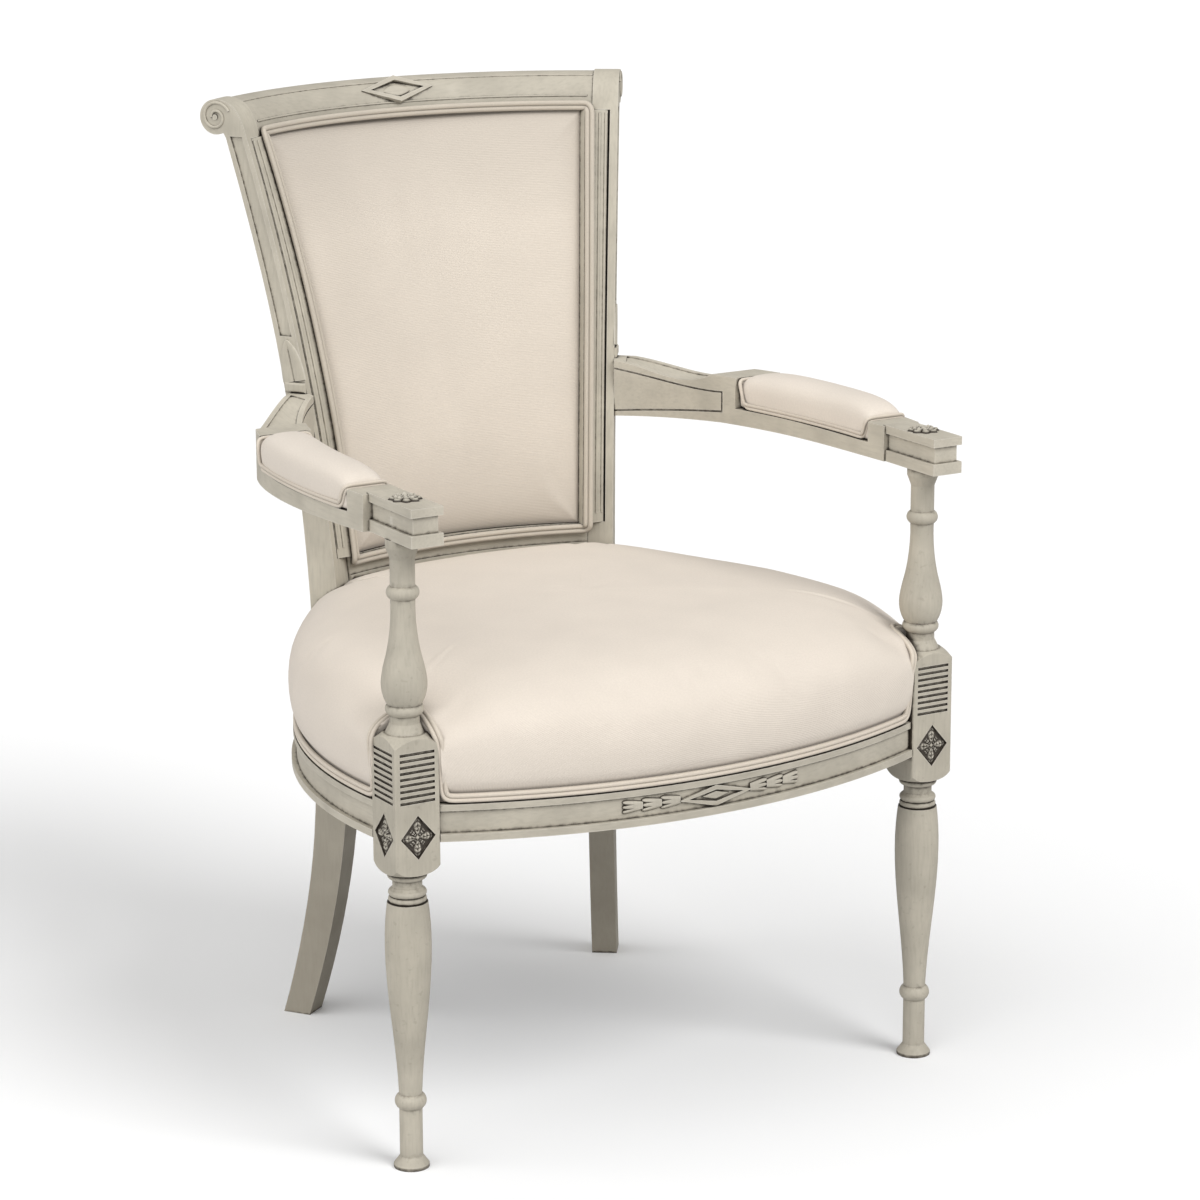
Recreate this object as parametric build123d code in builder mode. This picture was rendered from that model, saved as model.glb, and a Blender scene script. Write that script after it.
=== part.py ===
from build123d import *
from math import sin, cos, radians, pi
import os

os.makedirs("parts", exist_ok=True)

# Overall sizes, millimetres, +Z up, the chair faces -Y
depth = 646.0              # front of the bowed rail to the back of the crest roll
bow_reach = 80.0           # bowed rail in front of the front leg axes
leg_half_span = 279.0      # front leg axis to the centre plane
roll_reach = 376.0         # back axis to the back of the crest roll
front_y = -depth / 2 + bow_reach
axis_y = depth / 2 - roll_reach

# Fits
joint_gap = 0.15           # glue line of the joints
soft_gap = 0.4             # soft pieces to the wood round them

# Front legs
foot_radius = 16.4
foot_rim = 3.0
ankle_radius = 10.6
ankle_z = 11.0
ring_radius = 14.6
ring_z = 64.0
ring_half = 7.0
swell_radius = 15.2
swell_z = 130.0
bulge_radius = 21.2
bulge_z = 211.0
leg_top_radius = 18.6
leg_top_z = 254.5
collar_radius = 17.5       # two beads under the block
collar_bead = 6.2
bead_lip = 2.0
neck_radius = 13.5
base_ring_radius = 18.2    # ring right under the block
base_ring_height = 6.6
shoulder_radius = 20.0     # round shoulders turned on both ends of the block
block_size = 45.0
block_bottom = 292.5       # lower ends of the block's arrises
block_top = 404.0          # upper ends of the block's arrises
low_shoulder = 9.0
top_shoulder = 9.0
reed_count = 9
reed_pitch = 5.6
reed_width = 2.6
reed_depth = 1.6
reed_margin = 5.0
reed_top = 398.0
diamond_z = 320.0
diamond_width = 35.0
diamond_height = 41.0
diamond_depth = 2.5
block_chamfer = 1.0

# Arm supports, turned in one piece with the legs
vase_ring_radius = 17.4
vase_radius = 20.7
shaft_radius = 11.2
mid_ring_radius = 14.9
vase_neck_radius = 13.5
vase_neck_part = 0.097     # these are shares of the height between block and arm
vase_ring_part = 0.161
vase_part = 0.274
taper_part = 0.441
shaft_part = 0.624
mid_ring_part = 0.737
vase_ring_half = 5.0
taper_radius = 15.5
mid_ring_half = 6.0
cap_radius = 15.0
cap_height = 8.0
cap_taper = 10.0
arm_bottom = 590.0
support_tenon_radius = 9.0
support_tenon_length = 20.0

# Back posts, sabre legs and back stiles in one plank each
post_angle = 35.0          # plan angle of the plank from the depth direction
post_thickness = 26.0
knee_z = 280.0
knee_radius = 229.0        # front edge of the plank at the knee, from the back axis
foot_reach = 49.0          # front edge of the foot behind the knee
roll_depth = 51.0          # front edge at the crest to the back of the crest roll
crest_z = 884.0
curve_power = 1.9
foot_depth = 29.0
knee_depth = 35.5
stile_depth = 23.0
volute_radius = 17.0
volute_z = 904.0
bead_width = 8.0
rebate_depth = 13.0
taper_height = 400.0       # height over which the plank thins above the knee
band_gap = 0.5             # half-round band across the outer face, just above the arm
band_height = 10.0
band_reach = 3.0
band_round = 2.4
flute_low = 695.0          # sunk flute in the outer face
flute_high = 886.0
flute_margin = 5.0
flute_depth = 2.0

# Seat rails
rail_bottom = 312.0
rail_top = 370.0
welt_z = 346.0             # lower edge of the upholstery
rail_thickness = 30.0
side_bow = 41.9            # bow of the side rail's outer face
side_end_inset = 2.0
bow_depth = 58.0           # depth of the front rail's bow
rear_corner_reach = 10.0   # rear curve behind the ends of the side rails
bead_height = 7.0
bead_reach = 5.0
fillet_height = 6.0
fillet_reach = 3.0
tuck_reach = 7.0           # the rail is set back under the upholstery
tenon_thickness = 10.0
tenon_height = 34.0
tenon_length = 17.0
tenon_z = 340.0
side_tenon_x = -5.0         # side rail's front tenon from the leg axis, inward
tenon_root = 2.0            # tenons start inside their rails
tenon_wall = 1.0            # wood left behind the outer tenons
back_tenon = 12.0           # length of the tenons in the posts' inner faces
rear_tenon_inset = 16.0
low_tenon_inset = 11.0
low_tenon_width = 9.0
low_tenon_height = 16.0
crest_tenon_inset = 12.0
crest_tenon_width = 12.0
crest_tenon_height = 16.0
arm_tenon_rise = 22.0
arm_tenon_height = 24.0
rail_lozenge_z = 329.5
rail_lozenge_width = 77.0
rail_lozenge_height = 20.0
rail_lozenge_border = 4.5
rail_lozenge_reach = 2.5

# Back rails
crest_set_back = 1.5        # crest and panel stiles lie behind the posts' front edges
lozenge_width = 80.0
lozenge_height = 30.0
lozenge_border = 5.0
lozenge_reach = 5.0
lozenge_inset = 38.0        # lozenge in front of the back of the crest roll
lozenge_z = 908.0
crest_tilt = 38.0
low_rail_radius = 390.0
low_rail_front = 218.0     # front of the lower back rail behind the back axis
low_rail_bottom = 450.0
low_rail_top = 476.0
low_rail_thickness = 20.0
low_bead_reach = 2.0
low_bead_height = 6.0
rear_rail_back = 234.0      # back of the rear seat rail behind the back axis
rear_rail_thickness = 20.0

# Back upholstery
band_width = 26.0
groove_width = 2.2          # open groove between the posts' beads and the panel stiles
stile_overlap = 4.0
panel_thickness = 16.0
panel_bottom = low_rail_top
back_sag_low = 27.0
back_sag_high = 56.0
pad_thickness = 13.0
cloth = 1.2
back_welt_radius = 4.4
band_turn_low = 2.0
band_turn_more = 20.0
pad_crown_back = 6.0
pad_draw_in = 4.0
back_web_count = 4
back_web_margin = 40.0
welt_slope = 2.0            # draft on the sides of the upright welts
welt_turn = 28.0            # half angle of the welt under the crest
low_turn = 18.0             # half angle of the welt on the lower rail

# Arms
arm_rise = 50.0            # top of the arm at the post, above its underside at the front
arm_drop = 5.0             # shoulder behind the pad, below the arm's top at the post
rear_shoulder = 30.0       # length of that shoulder
arm_scoop = 14.5           # lowest part of the scooped top, below the arm's top at the post
scoop_rise = 1.0           # rise of the scoop toward the shoulder
scoop_rear_rise = 6.0      # rise of the scoop toward the post
scoop_front_y = 124.0      # these run back from the back axis
scoop_low_y = 145.0
scoop_y = 171.0
scoop_end_y = 202.0
belly_y = 90.0
# Points of the arm's curves: out from the front leg axis, back from the back axis
arm_inner_points = [(-77.0, 156.0), (-49.0, 90.0), (-30.0, 10.0), (-22.5, -80.0)]
arm_outer_points = [(25.0, -45.0), (20.0, 22.0), (-15.0, 128.0), (-51.0, 172.0)]
arm_inner_front = -20.5
arm_outer_front = 19.5
# Sunk outline on the arm's inner face, open at the post: back from the back axis, up from the arm's underside
panel_top_points = [(88.0, 29.5), (141.0, 31.0), (180.0, 38.0), (215.0, 47.0)]
panel_low_points = [(88.0, 8.0), (215.0, -5.0)]
panel_line = 1.8
panel_depth = 1.4
top_panel_margin = 6.0     # sunk panel in the arm's top
top_panel_depth = 1.5
pad_seat_rise = 14.0
pad_back_y = 72.0          # back from the back axis
pad_front_y = 62.0         # back from the front leg axes
shoulder_y = 36.0
shoulder_rise = 34.0
plate_half_width = 16.0
plate_shift = -2.5
plate_front_y = -40.0
low_plate = 11.0
top_plate = 8.0
plate_rise = 35.0
body_inset = 3.5
pad_crown = 31.0
arm_belly = 10.0
pad_inner_x = (-21.0, -26.0, -41.0)
pad_outer_x = (21.5, 25.0, 5.5)
pad_welt_width = 4.0
pad_welt_height = 6.0
pad_draw = 2.0
pad_swell = 2.5
pad_round = 10.0

# Seat upholstery
seat_crown = 118.0
seat_wall = 52.0
seat_bulge = 7.0
seat_dome = 150.0
crown_fullness = 0.75
seat_welt_width = 5.0
seat_welt_height = 8.0
web_width = 50.0
web_thickness = 1.5
long_web_pitch = 56.0
cross_web_pitch = 80.0
long_web_count = 5
cross_web_count = 4
stuffing_height = 36.0
stuffing_inset = 36.0

# Corner blocks and screws
block_gap = 0.2
corner_low = 322.0
corner_height = 32.0
front_block_reach = 99.0   # front block's long face from the leg axis, along the rails
screw_radius = 2.2
screw_head_radius = 4.2
screw_head_height = 3.0
screw_recess = 4.0
screw_play = 0.2
front_screw_grip = 14.0
rear_screw_grip = 9.0
rear_block_depth = 16.7
rear_cut_x = 60.0
rear_cut_width = 180.0
rear_cut_y = 72.0

back_reach = roll_reach - roll_depth - knee_radius
support_height = arm_bottom - block_top
vase_neck_z = block_top + vase_neck_part * support_height
vase_ring_z = block_top + vase_ring_part * support_height
vase_z = block_top + vase_part * support_height
taper_z = block_top + taper_part * support_height
shaft_z = block_top + shaft_part * support_height
mid_ring_z = block_top + mid_ring_part * support_height
arm_top = arm_bottom + arm_rise
arm_tenon_z = arm_bottom + arm_tenon_rise
pad_seat_z = arm_bottom + pad_seat_rise
plate_top = arm_bottom + plate_rise
shoulder_top = arm_bottom + shoulder_rise
band_low = arm_top + band_gap
axis_line = Axis((0, axis_y, 0), (0, 0, 1))
sin_a = sin(radians(post_angle))
cos_a = cos(radians(post_angle))
# In this plane x runs out from the back axis, y runs up and z leads out of the chair
post_plane = Plane(origin=(0, axis_y, 0), x_dir=(sin_a, cos_a, 0), z_dir=(cos_a, -sin_a, 0))


def front_edge(z):
    """Distance of the plank's front edge from the back axis at height z."""
    if z < knee_z:
        return knee_radius + foot_reach * ((knee_z - z) / knee_z) ** curve_power
    return knee_radius + back_reach * ((z - knee_z) / (crest_z - knee_z)) ** curve_power


def edge_depth(z):
    """Depth of the plank, front edge to back edge, at height z."""
    if z < knee_z:
        return knee_depth - (knee_depth - foot_depth) * (knee_z - z) / knee_z
    return stile_depth + (knee_depth - stile_depth) * max(0.0, 1 - (z - knee_z) / taper_height)


def post_point(r, z, inward=0.0):
    """Point at distance r from the back axis, a given way in from the plank's outer face."""
    return post_plane.from_local_coords(Vector(r, z, post_thickness - inward))


def roll_outline(set_back):
    """Outline of the rolled top from the crest's lower edge, front edge set back."""
    roll_x = roll_reach - volute_radius
    crest_front = front_edge(crest_z) + set_back
    slope = back_reach * curve_power / (crest_z - knee_z)
    top = (roll_x, volute_z + volute_radius - set_back)
    with BuildLine() as line:
        Spline((crest_front, crest_z), top, tangents=((slope, 1), (1, 0)))
        crest_back = front_edge(crest_z) + stile_depth
        Polyline(top, (roll_x, volute_z), (crest_back, crest_z), (crest_front, crest_z))
    return line.line


def plank_outline():
    """Outline of the plank from the floor to the crest's lower edge."""
    heights = [crest_z * i / 10 for i in range(11)]
    with BuildLine() as line:
        front = Spline(*[(front_edge(z), z) for z in heights])
        Line(front @ 1, (front_edge(crest_z) + edge_depth(crest_z), crest_z))
        back = Spline(*[(front_edge(z) + edge_depth(z), z) for z in reversed(heights)])
        Line(back @ 1, front @ 0)
    return line.line


def lozenge(width, height):
    """Corner points of a lozenge round the origin."""
    return ((-width / 2, 0), (0, -height / 2), (width / 2, 0), (0, height / 2))


# Front legs with their arm supports
def leg_profile():
    """Half outline of the turned leg below the block."""
    lip_radius = collar_radius - bead_lip
    ring_low = ring_z - ring_half
    ring_high = ring_z + ring_half
    first_bead = leg_top_z + collar_bead
    second_bead = first_bead + collar_bead
    base_ring_top = block_bottom - low_shoulder
    base_ring_low = base_ring_top - base_ring_height
    base_ring_middle = (base_ring_low + base_ring_top) / 2
    with BuildLine() as line:
        Polyline((0, 0), (foot_radius, 0), (foot_radius, foot_rim), (ankle_radius, ankle_z))
        Line((ankle_radius, ankle_z), (ankle_radius, ring_low))
        ThreePointArc((ankle_radius, ring_low), (ring_radius, ring_z), (ankle_radius, ring_high))
        Spline(
            (ankle_radius, ring_high),
            (swell_radius, swell_z),
            (bulge_radius, bulge_z),
            (leg_top_radius, leg_top_z),
        )
        Line((leg_top_radius, leg_top_z), (lip_radius, leg_top_z))
        for low in (leg_top_z, first_bead):
            high = low + collar_bead
            ThreePointArc((lip_radius, low), (collar_radius, (low + high) / 2), (lip_radius, high))
        Polyline(
            (lip_radius, second_bead),
            (neck_radius, second_bead + bead_lip),
            (neck_radius, base_ring_low),
            (base_ring_radius - bead_lip, base_ring_low),
        )
        ThreePointArc(
            (base_ring_radius - bead_lip, base_ring_low),
            (base_ring_radius, base_ring_middle),
            (base_ring_radius - bead_lip, base_ring_top),
        )
        Polyline(
            (base_ring_radius - bead_lip, base_ring_top),
            (base_ring_radius - bead_lip, block_bottom),
            (0, block_bottom),
            (0, 0),
        )
    return line.line


def block_profile():
    """Half outline that rounds the ends of the square block into turned shoulders."""
    corner = block_size / 2 ** 0.5
    low = block_bottom - low_shoulder
    high = block_top + top_shoulder
    low_bow = (0.55 * shoulder_radius + 0.45 * corner + bead_lip, low + 0.35 * low_shoulder)
    with BuildLine() as line:
        Polyline((0, low), (shoulder_radius, low))
        ThreePointArc((shoulder_radius, low), low_bow, (corner, block_bottom))
        Polyline((corner, block_bottom), (corner, block_top), (shoulder_radius, high), (0, high), (0, low))
    return line.line


def support_profile():
    """Half outline of the turned arm support above the block."""
    start = block_top
    vase_low = vase_ring_z - vase_ring_half
    vase_high = vase_ring_z + vase_ring_half
    cap_low = arm_bottom - cap_height
    tenon_top = arm_bottom + support_tenon_length
    with BuildLine() as line:
        Polyline(
            (0, start),
            (shoulder_radius - bead_lip, start),
            (shoulder_radius - bead_lip, block_top + top_shoulder),
            (vase_neck_radius, vase_neck_z),
            (vase_neck_radius, vase_low),
        )
        ThreePointArc(
            (vase_neck_radius, vase_low), (vase_ring_radius, vase_ring_z), (taper_radius, vase_high)
        )
        Spline(
            (taper_radius, vase_high),
            (vase_radius, vase_z),
            (taper_radius, taper_z),
            (shaft_radius, shaft_z),
            (shaft_radius, mid_ring_z - mid_ring_half),
        )
        ThreePointArc(
            (shaft_radius, mid_ring_z - mid_ring_half),
            (mid_ring_radius, mid_ring_z),
            (shaft_radius, mid_ring_z + mid_ring_half),
        )
        Polyline(
            (shaft_radius, mid_ring_z + mid_ring_half),
            (shaft_radius, cap_low - cap_taper),
            (cap_radius, cap_low),
            (cap_radius, arm_bottom),
            (support_tenon_radius, arm_bottom),
            (support_tenon_radius, tenon_top),
            (0, tenon_top),
            (0, start),
        )
    return line.line


screw_z = corner_low + corner_height / 2
front_screw_plane = Plane(
    origin=(leg_half_span - block_size / 2, front_y + block_size / 2, screw_z),
    z_dir=(1, -1, 0),
)
rear_screw_plane = Plane(
    origin=post_point(front_edge(screw_z), screw_z, post_thickness / 2),
    z_dir=(sin_a, cos_a, 0),
)
leg_axis = Axis((leg_half_span, front_y, 0), (0, 0, 1))
turn_plane = Plane(origin=(leg_half_span, front_y, 0), x_dir=(1, 0, 0), z_dir=(0, -1, 0))
block_half = block_size / 2
front_face = Plane(origin=(leg_half_span, front_y - block_half, 0), x_dir=(1, 0, 0), z_dir=(0, -1, 0))
outer_face = Plane(origin=(leg_half_span + block_half, front_y, 0), x_dir=(0, 1, 0), z_dir=(1, 0, 0))
inner_face = Plane(origin=(leg_half_span - block_half, front_y, 0), x_dir=(0, -1, 0), z_dir=(-1, 0, 0))
rear_face = Plane(origin=(leg_half_span, front_y + block_half, 0), x_dir=(-1, 0, 0), z_dir=(0, 1, 0))
fit_thickness = tenon_thickness + 2 * joint_gap
fit_height = tenon_height + 2 * joint_gap
fit_length = tenon_length + joint_gap

with BuildPart() as leg_block:
    with BuildSketch(Plane.XY.offset(block_bottom - low_shoulder)):
        with Locations((leg_half_span, front_y)):
            Rectangle(block_size, block_size)
    extrude(amount=block_top + top_shoulder - block_bottom + low_shoulder)
    chamfer(leg_block.edges().filter_by(Axis.Z), block_chamfer)
    with BuildSketch(turn_plane):
        with BuildLine():
            add(block_profile())
        make_face()
    revolve(axis=leg_axis, mode=Mode.INTERSECT)

with BuildPart() as right_front_leg:
    with BuildSketch(turn_plane):
        with BuildLine():
            add(leg_profile())
        make_face()
    revolve(axis=leg_axis)
    with BuildSketch(turn_plane):
        with BuildLine():
            add(support_profile())
        make_face()
    revolve(axis=leg_axis)
    add(leg_block.part)
    for face_plane in (front_face, outer_face):
        with BuildSketch(face_plane):
            for i in range(reed_count):
                with Locations((0, reed_top - reed_pitch * i)):
                    Rectangle(block_size - 2 * reed_margin, reed_width)
        extrude(amount=-reed_depth, mode=Mode.SUBTRACT)
        with BuildSketch(face_plane):
            with Locations((0, diamond_z)):
                Polygon(*lozenge(diamond_width, diamond_height))
        extrude(amount=-diamond_depth, mode=Mode.SUBTRACT)
    with BuildSketch(inner_face):
        with Locations((0, tenon_z)):
            Rectangle(fit_thickness, fit_height)
    extrude(amount=-fit_length, mode=Mode.SUBTRACT)
    with BuildSketch(rear_face):
        with Locations((side_tenon_x, tenon_z)):
            Rectangle(fit_thickness, fit_height)
    extrude(amount=-fit_length, mode=Mode.SUBTRACT)
    with BuildSketch(front_screw_plane):
        Circle(screw_radius + screw_play)
    extrude(amount=front_screw_grip + screw_play, both=True, mode=Mode.SUBTRACT)


# Back posts
low_tenon_r = front_edge(low_rail_bottom) + low_tenon_inset
rear_tenon_r = knee_radius + rear_tenon_inset
side_tenon_r = knee_radius + knee_depth / 2
arm_tenon_r = front_edge(arm_tenon_z) + stile_depth / 2
crest_tenon_r = roll_reach - volute_radius - crest_tenon_inset
outer_tenon = bead_width - tenon_wall
low_tenon_z = (low_rail_bottom + low_rail_top) / 2
outer_plane = post_plane.offset(post_thickness)
outward = Axis((0, axis_y, 0), (cos_a, -sin_a, 0))
band_start = bead_width + joint_gap
flute_heights = [flute_low + (flute_high - flute_low) * i / 3 for i in range(4)]
band_heights = [panel_bottom + (crest_z - panel_bottom) * i / 5 for i in range(6)]


def back_rail_tenons(extra):
    """Inner face tenons of crest, lower back rail and rear rail: place and size in the plank."""
    return (
        (crest_tenon_r, volute_z, crest_tenon_width + extra, crest_tenon_height + extra),
        (low_tenon_r, low_tenon_z, low_tenon_width + extra, low_tenon_height + extra),
        (rear_tenon_r, tenon_z, tenon_thickness + extra, tenon_height + extra),
    )


def outer_tenons(extra):
    """Outer face tenons of side rail and arm: place and size in the plank."""
    return (
        (side_tenon_r, tenon_z, tenon_thickness + extra, tenon_height + extra),
        (arm_tenon_r, arm_tenon_z, tenon_thickness + extra, arm_tenon_height + extra),
    )


with BuildPart() as right_back_post:
    with BuildSketch(post_plane):
        with BuildLine():
            add(plank_outline())
        make_face()
        with BuildLine():
            add(roll_outline(0.0))
        make_face()
        with Locations((roll_reach - volute_radius, volute_z)):
            Circle(volute_radius)
    extrude(amount=post_thickness)
    with BuildSketch(post_plane):
        with BuildLine():
            fore = Spline(*[(front_edge(z) - 1, z) for z in band_heights])
            Line(fore @ 1, (front_edge(crest_z) + rebate_depth, crest_z))
            aft = Spline(*[(front_edge(z) + rebate_depth, z) for z in reversed(band_heights)])
            Line(aft @ 1, fore @ 0)
        make_face()
    extrude(amount=post_thickness - bead_width, mode=Mode.SUBTRACT)
    with BuildSketch(outer_plane):
        with BuildLine():
            fore = Spline(*[(front_edge(z) + flute_margin, z) for z in flute_heights])
            aft = Spline(*[(front_edge(z) + stile_depth - flute_margin, z) for z in reversed(flute_heights)])
            Line(fore @ 1, aft @ 0)
            Line(aft @ 1, fore @ 0)
        make_face()
    extrude(amount=-flute_depth, mode=Mode.SUBTRACT)
    with BuildSketch(outer_plane):
        band_mid = band_low + band_height / 2
        with Locations((front_edge(band_mid) + stile_depth / 2, band_mid)):
            Rectangle(stile_depth, band_height)
    extrude(amount=band_reach)
    fillet(right_back_post.faces().sort_by(outward)[-1].edges(), band_round)
    with BuildSketch(rear_screw_plane):
        Circle(screw_radius + screw_play)
    extrude(amount=rear_screw_grip + screw_play, both=True, mode=Mode.SUBTRACT)
    for r, z, wide, high in back_rail_tenons(2 * joint_gap):
        with BuildSketch(post_plane):
            with Locations((r, z)):
                Rectangle(wide, high)
        extrude(amount=back_tenon + joint_gap, mode=Mode.SUBTRACT)
    for r, z, wide, high in outer_tenons(2 * joint_gap):
        with BuildSketch(outer_plane):
            with Locations((r, z)):
                Rectangle(wide, high)
        extrude(amount=-outer_tenon - joint_gap, mode=Mode.SUBTRACT)


# Inner faces of the right and the left post, each with the sense that leads into its plank
inner_planes = [
    (Plane(origin=(0, axis_y, 0), x_dir=(side * sin_a, cos_a, 0), z_dir=(cos_a, -side * sin_a, 0)), side)
    for side in (1, -1)
]

# Crest rail, turned about the back axis between the posts
end_angle = joint_gap / roll_reach * 180 / pi
crest_plane = Plane(
    origin=(0, axis_y, 0),
    x_dir=(sin(radians(post_angle - end_angle)), cos(radians(post_angle - end_angle)), 0),
    z_dir=(cos(radians(post_angle - end_angle)), -sin(radians(post_angle - end_angle)), 0),
)
lozenge_plane = Plane(
    origin=(0, axis_y + roll_reach - lozenge_inset, lozenge_z),
    x_dir=(1, 0, 0),
    z_dir=(0, -cos(radians(crest_tilt)), sin(radians(crest_tilt))),
)


with BuildPart() as crest_rail:
    with BuildSketch(crest_plane):
        with BuildLine():
            add(roll_outline(crest_set_back))
        make_face()
        with Locations((roll_reach - volute_radius, volute_z)):
            Circle(volute_radius - crest_set_back)
    revolve(axis=axis_line, revolution_arc=2 * (post_angle - end_angle))
    with BuildSketch(lozenge_plane):
        Polygon(*lozenge(lozenge_width, lozenge_height))
        inner_width = lozenge_width - 4 * lozenge_border
        inner_height = lozenge_height - 2 * lozenge_border
        Polygon(*lozenge(inner_width, inner_height), mode=Mode.SUBTRACT)
    extrude(amount=lozenge_reach, both=True)
    for plane, side in inner_planes:
        r, z, wide, high = back_rail_tenons(0.0)[0]
        with BuildSketch(plane.offset(-2 * side * tenon_root)):
            with Locations((r, z)):
                Rectangle(wide, high)
        extrude(amount=side * (back_tenon + 2 * tenon_root))


# Rails of seat and back are arcs; each pair of values is a centre in plan and an outer radius
def circle_through(a, b, c):
    """Centre and radius of the circle through three plan points."""
    ax, ay = b[0] - a[0], b[1] - a[1]
    bx, by = c[0] - a[0], c[1] - a[1]
    cross = 2 * (ax * by - ay * bx)
    ux = (by * (ax * ax + ay * ay) - ay * (bx * bx + by * by)) / cross
    uy = (ax * (bx * bx + by * by) - bx * (ax * ax + ay * ay)) / cross
    return (a[0] + ux, a[1] + uy), (ux * ux + uy * uy) ** 0.5


block_inner = leg_half_span - block_half
side_start = (leg_half_span + block_half - bead_reach, front_y + block_half)
side_end = post_point(knee_radius + knee_depth - side_end_inset, rail_bottom)
side_run = Vector(side_end.X - side_start[0], side_end.Y - side_start[1])
side_mid = Vector(*side_start) + side_run / 2 + Vector(side_run.Y, -side_run.X).normalized() * side_bow
side_centre, side_radius = circle_through(side_start, (side_mid.X, side_mid.Y), (side_end.X, side_end.Y))
bow_radius = (block_inner ** 2 + bow_depth ** 2) / (2 * bow_depth) - bead_reach
bow_centre = (0, front_y - bow_reach + bead_reach + bow_radius)
low_centre = (0, axis_y + low_rail_front - low_rail_radius)
rear_corner_y = side_end.Y + rear_corner_reach
rear_centre, rear_radius = circle_through(
    (side_end.X, rear_corner_y), (0, axis_y + rear_rail_back), (-side_end.X, rear_corner_y)
)


def wedge(gap):
    """Plan wedge between the inner faces of the two posts."""
    tip = axis_y + gap / sin_a
    reach = 2 * roll_reach
    return ((0, tip), (reach * sin_a, tip + reach * cos_a), (-reach * sin_a, tip + reach * cos_a))


def seat_region(reach, rear_reach):
    """Plan of the seat, grown by reach at front and sides and by rear_reach at the back."""
    with BuildSketch(mode=Mode.PRIVATE) as region:
        with Locations(bow_centre):
            Circle(bow_radius + reach)
        for side in (1, -1):
            with Locations((side * side_centre[0], side_centre[1])):
                Circle(side_radius + reach, mode=Mode.INTERSECT)
        with Locations(rear_centre):
            Circle(rear_radius + rear_reach, mode=Mode.INTERSECT)
    return region.sketch


rail_steps = (
    (0.0, rail_bottom, welt_z),
    (bead_reach, rail_bottom, rail_bottom + bead_height),
    (fillet_reach, welt_z - fillet_height, welt_z),
    (-tuck_reach, welt_z - 1, rail_top),
)
front_end = block_inner - joint_gap
side_front = front_y + block_half + joint_gap

with BuildPart() as front_seat_rail:
    for reach, low, high in rail_steps:
        with BuildSketch(Plane.XY.offset(low)):
            with Locations(bow_centre):
                Circle(bow_radius + reach)
                Circle(bow_radius - rail_thickness, mode=Mode.SUBTRACT)
            with Locations((0, front_y)):
                Rectangle(2 * front_end, 2 * bow_reach + rail_thickness, mode=Mode.INTERSECT)
        extrude(amount=high - low)
    for side in (1, -1):
        with BuildSketch(Plane.XY.offset(tenon_z - tenon_height / 2)):
            with Locations((side * (block_inner + tenon_length / 2 - tenon_root), front_y)):
                Rectangle(tenon_length + 2 * tenon_root, tenon_thickness)
        extrude(amount=tenon_height)
    with BuildSketch(Plane.XZ.offset(-(front_y - bow_reach + bead_reach))):
        with Locations((0, rail_lozenge_z)):
            Polygon(*lozenge(rail_lozenge_width, rail_lozenge_height))
            inner_width = rail_lozenge_width - 4 * rail_lozenge_border
            inner_height = rail_lozenge_height - 2 * rail_lozenge_border
            Polygon(*lozenge(inner_width, inner_height), mode=Mode.SUBTRACT)
    extrude(amount=rail_lozenge_reach, both=True)

with BuildPart() as right_seat_rail:
    for reach, low, high in rail_steps:
        with BuildSketch(Plane.XY.offset(low)):
            with Locations(side_centre):
                Circle(side_radius + reach)
                Circle(side_radius - rail_thickness, mode=Mode.SUBTRACT)
            with Locations((leg_half_span, side_front + depth / 2)):
                Rectangle(leg_half_span, depth, mode=Mode.INTERSECT)
        extrude(amount=high - low)
    split(bisect_by=outer_plane.offset(joint_gap), keep=Keep.TOP)
    with BuildSketch(rear_face.offset(2 * tenon_root)):
        with Locations((side_tenon_x, tenon_z)):
            Rectangle(tenon_thickness, tenon_height)
    extrude(amount=-tenon_length - 2 * tenon_root)
    with BuildSketch(outer_plane.offset(2 * tenon_root)):
        r, z, wide, high = outer_tenons(0.0)[0]
        with Locations((r, z)):
            Rectangle(wide, high)
    extrude(amount=-outer_tenon - 2 * tenon_root)


with BuildPart() as rear_seat_rail:
    for reach, low, high in ((0.0, rail_bottom, welt_z), (-tuck_reach, welt_z - 1, rail_top)):
        with BuildSketch(Plane.XY.offset(low)):
            with Locations(rear_centre):
                Circle(rear_radius + reach)
                Circle(rear_radius - rear_rail_thickness, mode=Mode.SUBTRACT)
            Polygon(*wedge(joint_gap), align=None, mode=Mode.INTERSECT)
        extrude(amount=high - low)
    for plane, side in inner_planes:
        r, z, wide, high = back_rail_tenons(0.0)[2]
        with BuildSketch(plane.offset(-2 * side * tenon_root)):
            with Locations((r, z)):
                Rectangle(wide, high)
        extrude(amount=side * (back_tenon + 2 * tenon_root))

with BuildPart() as lower_back_rail:
    for reach, height in ((0.0, low_rail_top - low_rail_bottom), (low_bead_reach, low_bead_height)):
        with BuildSketch(Plane.XY.offset(low_rail_bottom)):
            with Locations(low_centre):
                Circle(low_rail_radius + low_rail_thickness)
                Circle(low_rail_radius - reach, mode=Mode.SUBTRACT)
            Polygon(*wedge(joint_gap), align=None, mode=Mode.INTERSECT)
        extrude(amount=height)
    for plane, side in inner_planes:
        r, z, wide, high = back_rail_tenons(0.0)[1]
        with BuildSketch(plane.offset(-2 * side * tenon_root)):
            with Locations((r, z)):
                Rectangle(wide, high)
        extrude(amount=side * (back_tenon + 2 * tenon_root))


# Frame of the back panel and its upholstery
def band_turn(z):
    """Plan turn of the panel stile's face from the width direction, in radians."""
    part = (z - panel_bottom) / (crest_z - panel_bottom)
    return radians(band_turn_low + band_turn_more * part ** 3)


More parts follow.
